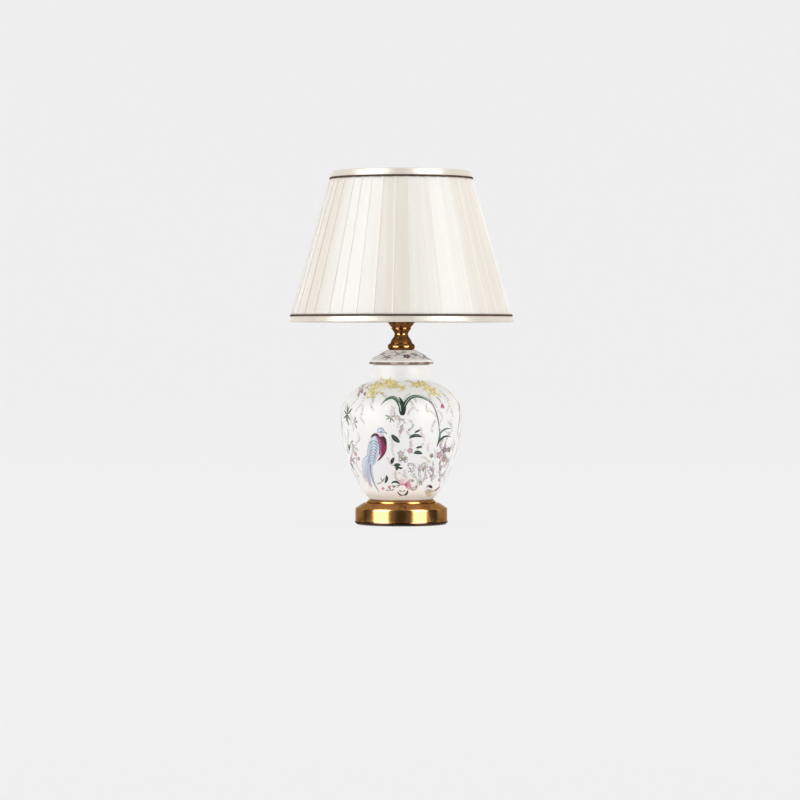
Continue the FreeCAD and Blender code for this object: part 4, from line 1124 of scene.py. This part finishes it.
def sprig(brush, x, z, angle, length, colour, buds, pairs=5):
    """Thin bent stem with pairs of small leaves and a bud at its end."""
    bow = brush.roll(-0.4, 0.4)
    brush.leaf(x, z, angle, length, 0.42, colour, bow=bow, form=0.4, height=0.08)
    a = math.radians(angle)
    for i in range(pairs):
        share = (i + 1) / (pairs + 0.6)
        curve = 2 * bow * share * (1 - share)
        at_x = x + length * (share * math.cos(a) - curve * math.sin(a))
        at_z = z + length * (share * math.sin(a) + curve * math.cos(a))
        for turn in (-48, 52):
            brush.leaf(at_x, at_z, angle + turn + brush.roll(-20, 20), brush.roll(1.6, 3.4),
                       brush.roll(0.5, 1.0), colour, height=0.09, form=0.7)
    brush.leaf(x + length * math.cos(a), z + length * math.sin(a), angle, 2.0, 1.2, buds, form=0.5)


def spray(brush, x, z, angles, length, width, colour, tip):
    """Pointed leaves that fan out of one place."""
    for angle in angles:
        brush.leaf(x, z, angle, length * brush.roll(0.8, 1.15), width, colour, tip,
                   bow=brush.roll(-0.15, 0.15), form=0.75)


def garland(brush, points, count, spread):
    """Small leaves scattered along a bent line of three points, thicker in its middle."""
    colours = (GOLD, STRAW, STRAW, linear(246, 236, 188), linear(214, 204, 140))
    share = np.sort(brush.roll(0, 1, count))
    line = [(1 - share)**2 * a + 2 * share * (1 - share) * b + share**2 * c for a, b, c in points]
    for t, x, z in zip(share, *line):
        wide = spread * math.sin(math.pi * (0.12 + 0.76 * t))
        x, z = x + brush.rng.normal(0, 0.8), z + brush.roll(-wide, wide)
        brush.leaf(x, z, brush.roll(-50, 50) + 180 * brush.rng.integers(2), brush.roll(3.5, 7.5),
                   brush.roll(1.0, 2.8), colours[brush.rng.integers(len(colours))],
                   bow=brush.roll(-0.35, 0.35), height=0.1, form=0.65)


print("strokes of a blossom and a sprig:", tried(blossom, 0, 0, 5, PINK, BLUSH, 0),
      tried(sprig, 0, 0, 90, 12, OLIVE, PINK))

# %% [markdown]
# ## The bird
#
# It sits with its back to the left and its long tail down. The table lists its large
# strokes as places relative to its shoulder; the feathers are rows of small ones.

# %% Bird
BIRD = [
    ((-10, -8), (-27, -25), (-15, -46), 3.4, FROST, LILAC, 0.6, 0.9, 0.12),
    ((-9, -9), (-22, -20), (-17, -42), 5.4, ICE, FROST, 0.55, 0.9, 0.13),
    ((-9.5, -8.5), (-26, -14), (-22, -34), 0.7, SLATE, LILAC, 0.5, 0.9, 0.22),
    ((-8, -12), (-16, -36), (-6, -52), 4.6, ICE, LILAC, 0.6, 0.9, 0.14),
    ((-10, -15), (-18, -36), (-8.5, -52), 0.7, PERIWINKLE, LILAC, 0.5, 0.9, 0.24),
    ((-12.5, -12), (-21.5, -30), (-15, -45), 0.6, SLATE, LILAC, 0.5, 0.9, 0.24),
    ((-4, -16), (-8, -38), (2, -53), 3.0, FROST, ICE, 0.6, 0.8, 0.15),
    ((-6.5, -18), (-10.8, -40), (5.5, -58), 3.0, PERIWINKLE, LILAC, 0.55, 0.8, 0.2),
    ((-5.6, -20), (-9.4, -40), (5.8, -58), 0.7, SLATE, PERIWINKLE, 0.5, 0.9, 0.3),
    ((-9, -12), (-19.5, -30), (-11, -50), 3.8, FROST, ICE, 0.55, 0.9, 0.1),
    ((-3, 14.5), (-11, 2), (-9, -21), 5.2, ICE, FROST, 0.5, 1.0, 0.12),
    ((-1, 17), (-5.4, 2), (-7.5, -24), 6.4, FROST, ICE, 0.5, 1.0, 0.12),
    ((1, 17.5), (0.2, 2), (-6, -25), 6.4, FROST, ICE, 0.5, 1.0, 0.12),
    ((3, 17), (6, 2), (-4.5, -23), 6.4, FROST, ICE, 0.5, 1.0, 0.12),
    ((4, 16), (10.5, 1), (-3, -20), 4.6, FROST, LILAC, 0.5, 1.0, 0.12),
    ((-6.5, 11), (-14, -4), (-9, -16), 0.7, SLATE, PERIWINKLE, 0.5, 1.0, 0.26),
    ((-2, 11), (6, 7), (6, -4), 4.6, TEAL, ICE, 0.6, 0.9, 0.24),
    ((-3, -12), (1.5, -16), (-2.5, -22), 4.4, TEAL, FROST, 0.6, 0.9, 0.24),
    ((1.5, 17), (10, 10), (6.5, -8), 4.8, MAUVE, linear(150, 70, 104), 0.5, 0.9, 0.22),
    ((4, 16.5), (15, 11), (9.5, -9), 5.4, linear(112, 44, 78), CRIMSON, 0.5, 0.9, 0.26),
    ((7, 15.5), (17, 11), (12.5, -5), 4.4, PLUM, CRIMSON, 0.45, 0.9, 0.28),
    ((-5.9, 14.0), (0.2, 23.5), (8.6, 14.8), 3.6, PLUM, PLUM, 0.45, 1.1, 0.34),
    ((6.0, 14.4), (15.4, 19.5), (15.4, 0), 4.6, PLUM, PLUM, 0.4, 0.9, 0.36),
    ((14.8, 7), (16.8, -4), (3.2, -17), 4.4, CRIMSON, linear(132, 40, 72), 0.5, 0.8, 0.34),
    ((3.6, 19.4), (8.4, 15.4), (13.0, 19.4), 4.6, LILAC, BLUSH, 0.45, 1.0, 0.3),
    ((3.2, 21.4), (8.2, 27.4), (13.8, 21.0), 7.6, LILAC, SKY, 0.5, 1.0, 0.32),
    ((5.4, 23.4), (9, 27), (12.6, 22.6), 3.6, FROST, TEAL, 0.5, 1.0, 0.4),
    ((3.2, 22.5), (8.2, 33.5), (14.4, 22.4), 0.9, SLATE, SLATE, 0.5, 1.0, 0.4),
    ((13.8, 22.6), (16.4, 21.6), (17.4, 18.9), 1.5, SLATE, GREY, 0.6, 0.8, 0.3)]


def bird(brush, x, z, m=1):
    """Large strokes, then chevrons on the back, lines on the breast and an eye."""
    brush.table(x, z, m, BIRD)
    for row in range(8):
        top_x, top_z = -1.2 - 0.08 * row**2, 11 - 3.8 * row
        tone = (SLATE, PERIWINKLE, linear(120, 176, 184))[row % 3]
        for ends, tip in [(((top_x - 7.4, top_z - 5), (top_x - 3, top_z - 0.6), (top_x, top_z)), PERIWINKLE),
                          (((top_x, top_z), (top_x + 3.6, top_z - 0.8),
                            (top_x + 6.6 - 0.5 * row, top_z - 5.4)), SLATE)]:
            brush.table(x, z, m, [(*ends, 1.7, tone, tip, 0.45, 1.0, 0.34)])
    for i in range(7):
        brush.leaf(x + m * (10.2 - 0.6 * abs(i - 2)), z + 12.5 - 3.4 * i, 90 + m * (118 + 7 * i), 5.0, 1.0,
                   PINK, MAUVE, bow=0.3 * m, height=0.42, form=0.5)
    brush.dot(x + m * 9.4, z + 22.7, 2.1, linear(84, 96, 124), height=0.5)


print("strokes of a bird:", tried(bird, 0, 0), "of which large:", len(BIRD))

# %% [markdown]
# ## Leaves of the front
#
# The front carries large arching leaves, a tuft to their right and small pointed sprays.
# Dark leaves are laid first, and a lighter line follows along each of them.

# %% Leaves of the front
def front_leaves(brush):
    """Leaves of the front; x runs along the arc from its middle and z is height, in mm."""
    brush.table(1.4, 146, 1, FOUNTAIN)
    brush.table(49.8, 102.4, 1, TUFT)
    for start, bend, end, width in [
            ((-13, 119), (-8, 113), (-2, 108.5), 6.4), ((10, 113.5), (17, 121), (28, 115.5), 4.4),
            ((17, 121.5), (21, 123), (26, 126), 2.6), ((19, 101), (24, 103), (28.5, 102), 2.8),
            ((16, 94), (22.5, 97), (28.5, 93), 4.8), ((-12.6, 79.5), (-13, 84), (-9.0, 89), 4.6),
            ((-10, 77), (-6, 80.5), (-0.5, 78), 4.2), ((-5.6, 71), (-6.4, 76), (-4.6, 80), 4.4),
            ((-5, 77), (-1.4, 72.5), (2.0, 75.5), 2.8), ((-13.8, 53.4), (-8, 60), (-0.4, 51.7), 3.0),
            ((-5.4, 43.8), (-2, 36.5), (3.4, 38.6), 2.0), ((2.6, 38.4), (8.6, 38.6), (8.2, 45.6), 2.8),
            ((-20.5, 65), (-17.5, 60), (-22.5, 54), 4.0)]:
        brush.stroke(start, bend, end, width, BLACK_GREEN, DARK_GREEN, form=0.6)
        brush.stroke(start, bend, end, width * 0.2, GREEN, GREY_GREEN, form=0.7, height=0.25)
    for x, z, turns, length, width in [
            (-88, 145, (34, 66, 98, 157, 200, -113, -72, -40), 15, 2.8), (-70, 134, (70, 20, -60), 9, 2.0),
            (-86, 95, (84, 60, 100), 13, 2.2), (-80, 108, (10, -40), 9, 2.0), (-92, 80, (-48, -34), 15, 3.0),
            (27, 57, (-80, -120, 200), 7, 1.4), (-14, 142, (200, 160, 20, -50, -95), 8, 1.8),
            (2, 86, (0, 40, 140, 200, 310), 6, 1.6), (-7, 50.6, (176, 8, -150), 6, 1.8),
            (1, 42.5, (30, 150), 5, 1.6), (-26, 55, (60, 110, 200), 8, 1.5), (15, 44, (20, 70, 130), 7, 1.5),
            (-14, 44, (30, 110, 170), 7, 1.5)]:
        spray(brush, x, z, turns, length, width, DARK_GREEN if length > 9 else OLIVE, GREY_GREEN)
    for low, high, count in [((-4, 84), (9, 90), 12), ((9, 63), (18, 80), 22)]:
        for x, z in brush.roll(low, high, (count, 2)):
            brush.leaf(x, z, brush.roll(0, 180), brush.roll(1.5, 3.4), brush.roll(0.7, 1.5),
                       (GREEN, STRAW, OLIVE, BROWN)[brush.rng.integers(4)], form=0.6)
    for ends in [((27, 60), (22, 72), (31, 81)), ((30, 59), (36, 70), (32, 83)),
                 ((24, 62), (22, 68), (25, 77)), ((40, 77), (43, 71), (47, 62)),
                 ((49, 76), (44, 70), (47, 63)), ((58, 78), (54, 70), (60, 60))]:
        brush.stroke(*ends, 0.9, GREY, OLIVE, form=0.5, height=0.1)


print("strokes of the leaves:", tried(front_leaves))

# %% [markdown]
# ## Flowers of the front
#
# Blossoms of a few colours, one large flower at the foot, a dark bud over a pale rock
# and yellow garlands that hang on the shoulder. Thin sprigs crowd between them.

# %% Flowers of the front
def large_flower(brush, x, z, m=1):
    """Layered petals that spread to one side of their foot; m is -1 to mirror them."""
    for angles, length, width, near, far in [
            ((58, 84, 112), 10, 4.2, BLUSH, WHITE), ((36, 16, -4, -22, -42), 12, 2.8, PINK, BLUSH),
            ((28, 4, -16, -36), 8, 1.7, CRIMSON, PINK), ((164, 190), 6, 1.6, PINK, BLUSH)]:
        spray(brush, x, z, [a if m > 0 else 180 - a for a in angles], length, width, near, far)


def front_flowers(brush):
    """Blossoms, the large flower at the foot and the garlands of the front."""
    for x, z, size, outer, inner in [
            (-1, 93.5, 4.4, MAUVE, WHITE), (11.5, 97.5, 4.0, MAUVE, BLUSH), (55, 91, 5.4, MAUVE, BLUSH),
            (64, 98, 4.6, MAUVE, GREY), (64.5, 85, 4.4, BROWN, BLUSH), (73, 98, 4.0, GREY, MAUVE),
            (42, 90.5, 3.4, GREY, OLIVE), (-70, 92, 3.6, PINK, BLUSH), (-64, 86, 3.0, MAUVE, BLUSH),
            (-61, 176, 3.2, MAUVE, GREY), (-54, 173, 2.8, GREY, MAUVE), (-66, 171, 2.6, MAUVE, BLUSH),
            (-16, 49, 2.8, BLUSH, PINK), (-25, 47, 2.4, BLUSH, PINK), (20, 49, 2.6, BLUSH, GREY),
            (15, 57.5, 2.2, BROWN, BLUSH)]:
        blossom(brush, x, z, size, outer, inner, brush.roll(0, 72))
    brush.stroke((49, 169), (56.5, 166), (59, 159), 1.3, BROWN, CRIMSON, form=0.5)
    spray(brush, 59.5, 160, (-60, -85, -108), 8, 3.4, CRIMSON, PINK)
    large_flower(brush, 3.5, 53)
    for ends in [((33, 45), (38, 39), (46, 40)), ((36, 46.5), (42, 41), (51, 43)),
                 ((34, 41.5), (40, 36), (50, 38)), ((39, 45.5), (45, 42), (55, 43.5))]:
        brush.stroke(*ends, 3.4, SAND, linear(222, 212, 190), form=0.6, height=0.1)
        brush.stroke(*ends, 0.6, BROWN, SAND, form=0.6, height=0.16)
    brush.stroke((34.5, 47.5), (38.5, 53), (44, 48.5), 3.0, LILAC, MAUVE, form=0.6, height=0.2)
    brush.stroke((38, 49), (42.5, 51), (46.5, 46.5), 4.0, PLUM, PLUM, form=0.6, height=0.24)
    brush.stroke((51, 43), (58, 44.5), (66, 48.5), 2.4, BROWN, PLUM, form=0.6, height=0.2)
    garland(brush, ((-47, -24, 0), (175, 195, 181)), 150, 5.4)
    garland(brush, ((17, 34, 54), (185, 190, 170)), 95, 4.4)
    garland(brush, ((-46, -38, -30), (167, 177, 175)), 26, 2.4)
    brush.stroke((3, 189.5), (10.5, 192), (18, 186.5), 1.3, GOLD, OLIVE, form=0.5)


def front_thickets(brush):
    """Darker sprigs and small blossoms that crowd the lower right and the left of the front."""
    tones = [linear(*c) for c in [(150, 122, 104), (172, 168, 162), (166, 166, 132), (172, 168, 162),
                                  (180, 150, 164)]]
    for x, z, spread_x, spread_z, count in [(62, 90, 16, 16, 16), (34, 66, 14, 12, 10), (-74, 90, 12, 14, 7),
                                            (-60, 174, 10, 6, 6), (6, 128, 12, 12, 5), (64, 60, 10, 12, 6)]:
        for i in range(count):
            at_x, at_z = x + brush.roll(-spread_x, spread_x), z + brush.roll(-spread_z, spread_z)
            sprig(brush, at_x, at_z, brush.roll(20, 160), brush.roll(6, 12), tones[i % 5], MAUVE, 4)
            if i % 3 == 0:
                blossom(brush, at_x, at_z, brush.roll(1.8, 3.0), MAUVE, BLUSH, 20 * i)


print("strokes of the flowers and thickets:", tried(front_flowers), tried(front_thickets))

# %% [markdown]
# ## Sides and back
#
# The picture shows the front alone. A painter carries the same plants around, so a page
# for each side repeats the recipes with other sizes, and rings of pale sprigs fill the
# rest all around.

# %% Sides and back
def far_page(brush, degrees, m=1):
    """A side or the back: fountain, palms, blossoms and a garland around an angle; m is -1 to mirror them."""
    roll = brush.roll
    brush.turn = math.radians(degrees)
    brush.table(4 * m, 138 + roll(-6, 6), m, FOUNTAIN)
    brush.table(12 * m, 84 + roll(-4, 4), -m, TUFT)
    spray(brush, -30 * m, 150, range(-20, 221, 34), 13, 2.3, DARK_GREEN, GREY_GREEN)
    spray(brush, 22 * m, 100, (20, 60, 110), 12, 3.6, BLACK_GREEN, GREEN)
    for _ in range(9):
        outer, inner = [(PINK, BLUSH), (MAUVE, WHITE), (CRIMSON, PINK)][brush.rng.integers(3)]
        blossom(brush, roll(-34, 34), roll(56, 128), roll(3.6, 6.0), outer, inner, roll(0, 72))
    large_flower(brush, -6 * m, 52, m)
    garland(brush, ((-34, 0, 34), (170, 198, 170)), 150, 5.0)


def sprigs(brush, count):
    """Pale sprigs in rings of places all around, each moved a little; the front bird's place stays clear."""
    rows = np.linspace(50, 158, 9)
    tones = [linear(*c) for c in [(204, 186, 202), (194, 192, 188), (196, 200, 172), (214, 184, 196),
                                  (180, 166, 148)]]
    for i in range(count):
        z = rows[i % len(rows)] + brush.roll(-6, 6)
        brush.turn = i / count * TURN - TURN / 2 + brush.roll(-0.1, 0.1)
        if abs(brush.turn + 0.49) > 0.31 or z > 130:
            sprig(brush, 0, z, brush.roll(30, 150), brush.roll(10, 17), tones[brush.rng.integers(5)],
                  (BLUSH, STRAW, MAUVE)[i % 3])


print("strokes of a far page:", tried(far_page, 90))

# %% [markdown]
# ## The pages on the jar
#
# Each page has a seeded dice of its own, so one can be changed without moving the
# others. Page height is height as it looks from the camera, a little above the jar,
# so that everything measured in the picture comes back to its place.

# %% Pages on the jar
JAR_WALL = JAR_SIDE[np.argsort(JAR_SIDE[:, 1])]
SEEN_HEIGHT = JAR_WALL[:, 1] - (CAMERA_HIGH - JAR_WALL[:, 1]) * JAR_WALL[:, 0] / CAMERA_AWAY
pages = {name: Brush(seed) for name, seed in [("sprigs", 23), ("front", 21), ("sides", 22)]}
sprigs(pages["sprigs"], 290)
front_leaves(pages["front"])
front_thickets(pages["front"])
front_flowers(pages["front"])
bird(pages["front"], -36, 100)
for degrees, m in [(110, -1), (192, 1), (-119, 1)]:
    far_page(pages["sides"], degrees, m)
pages["sides"].turn = math.radians(151)
bird(pages["sides"], 0, 98, -1)
for name, brush in pages.items():
    paint(name, brush, JAR_WALL, SEEN_HEIGHT, "vase_glaze")

# %% [markdown]
# ## The lid's painting
#
# Small blossoms and leaves go around the cone of the lid. The page is the cone itself:
# up on the page is the way up its slope.

# %% Lid painting
def lid_painting():
    """Small flowers and leaves around the cone of the lid; page height is the way up the cone."""
    brush = Brush(31)
    roll = brush.roll
    for i in range(15):
        brush.turn = i / 15 * TURN - TURN / 2 + roll(-0.08, 0.08)
        z = 8 + 7 * (i % 2) + roll(-1.5, 2.5)
        outer, inner = [(PLUM, MAUVE), (MAUVE, LILAC), (MAUVE, BLUSH)][brush.rng.integers(3)]
        blossom(brush, 0, z, roll(3.0, 5.6), outer, inner, roll(0, 72))
        for turn in (25, 155, 205, -30)[:brush.rng.integers(1, 5)]:
            brush.leaf(0, z, turn + roll(-30, 30), roll(6, 13), roll(1.2, 2.6),
                       (DARK_GREEN, OLIVE, MAUVE)[i % 3], GREY_GREEN, bow=roll(-0.3, 0.3), height=0.1)
        sprig(brush, 5, z, roll(0, 360), 7, (MAUVE, GREY, OLIVE)[i % 3], PLUM, 3)
        sprig(brush, -4, 10 + roll(-5, 8), roll(0, 360), 8, (LILAC, SAND, BLUSH)[i % 3], MAUVE, 3)
    cone_side = np.array([(42.0, 218.0), (19.9, 231.35)])
    cone_side = cone_side[0] + np.linspace(0, 1, 20)[:, None] * (cone_side[1] - cone_side[0])
    paint("lid_painting", brush, cone_side, along(cone_side), "lid_glaze")


lid_painting()
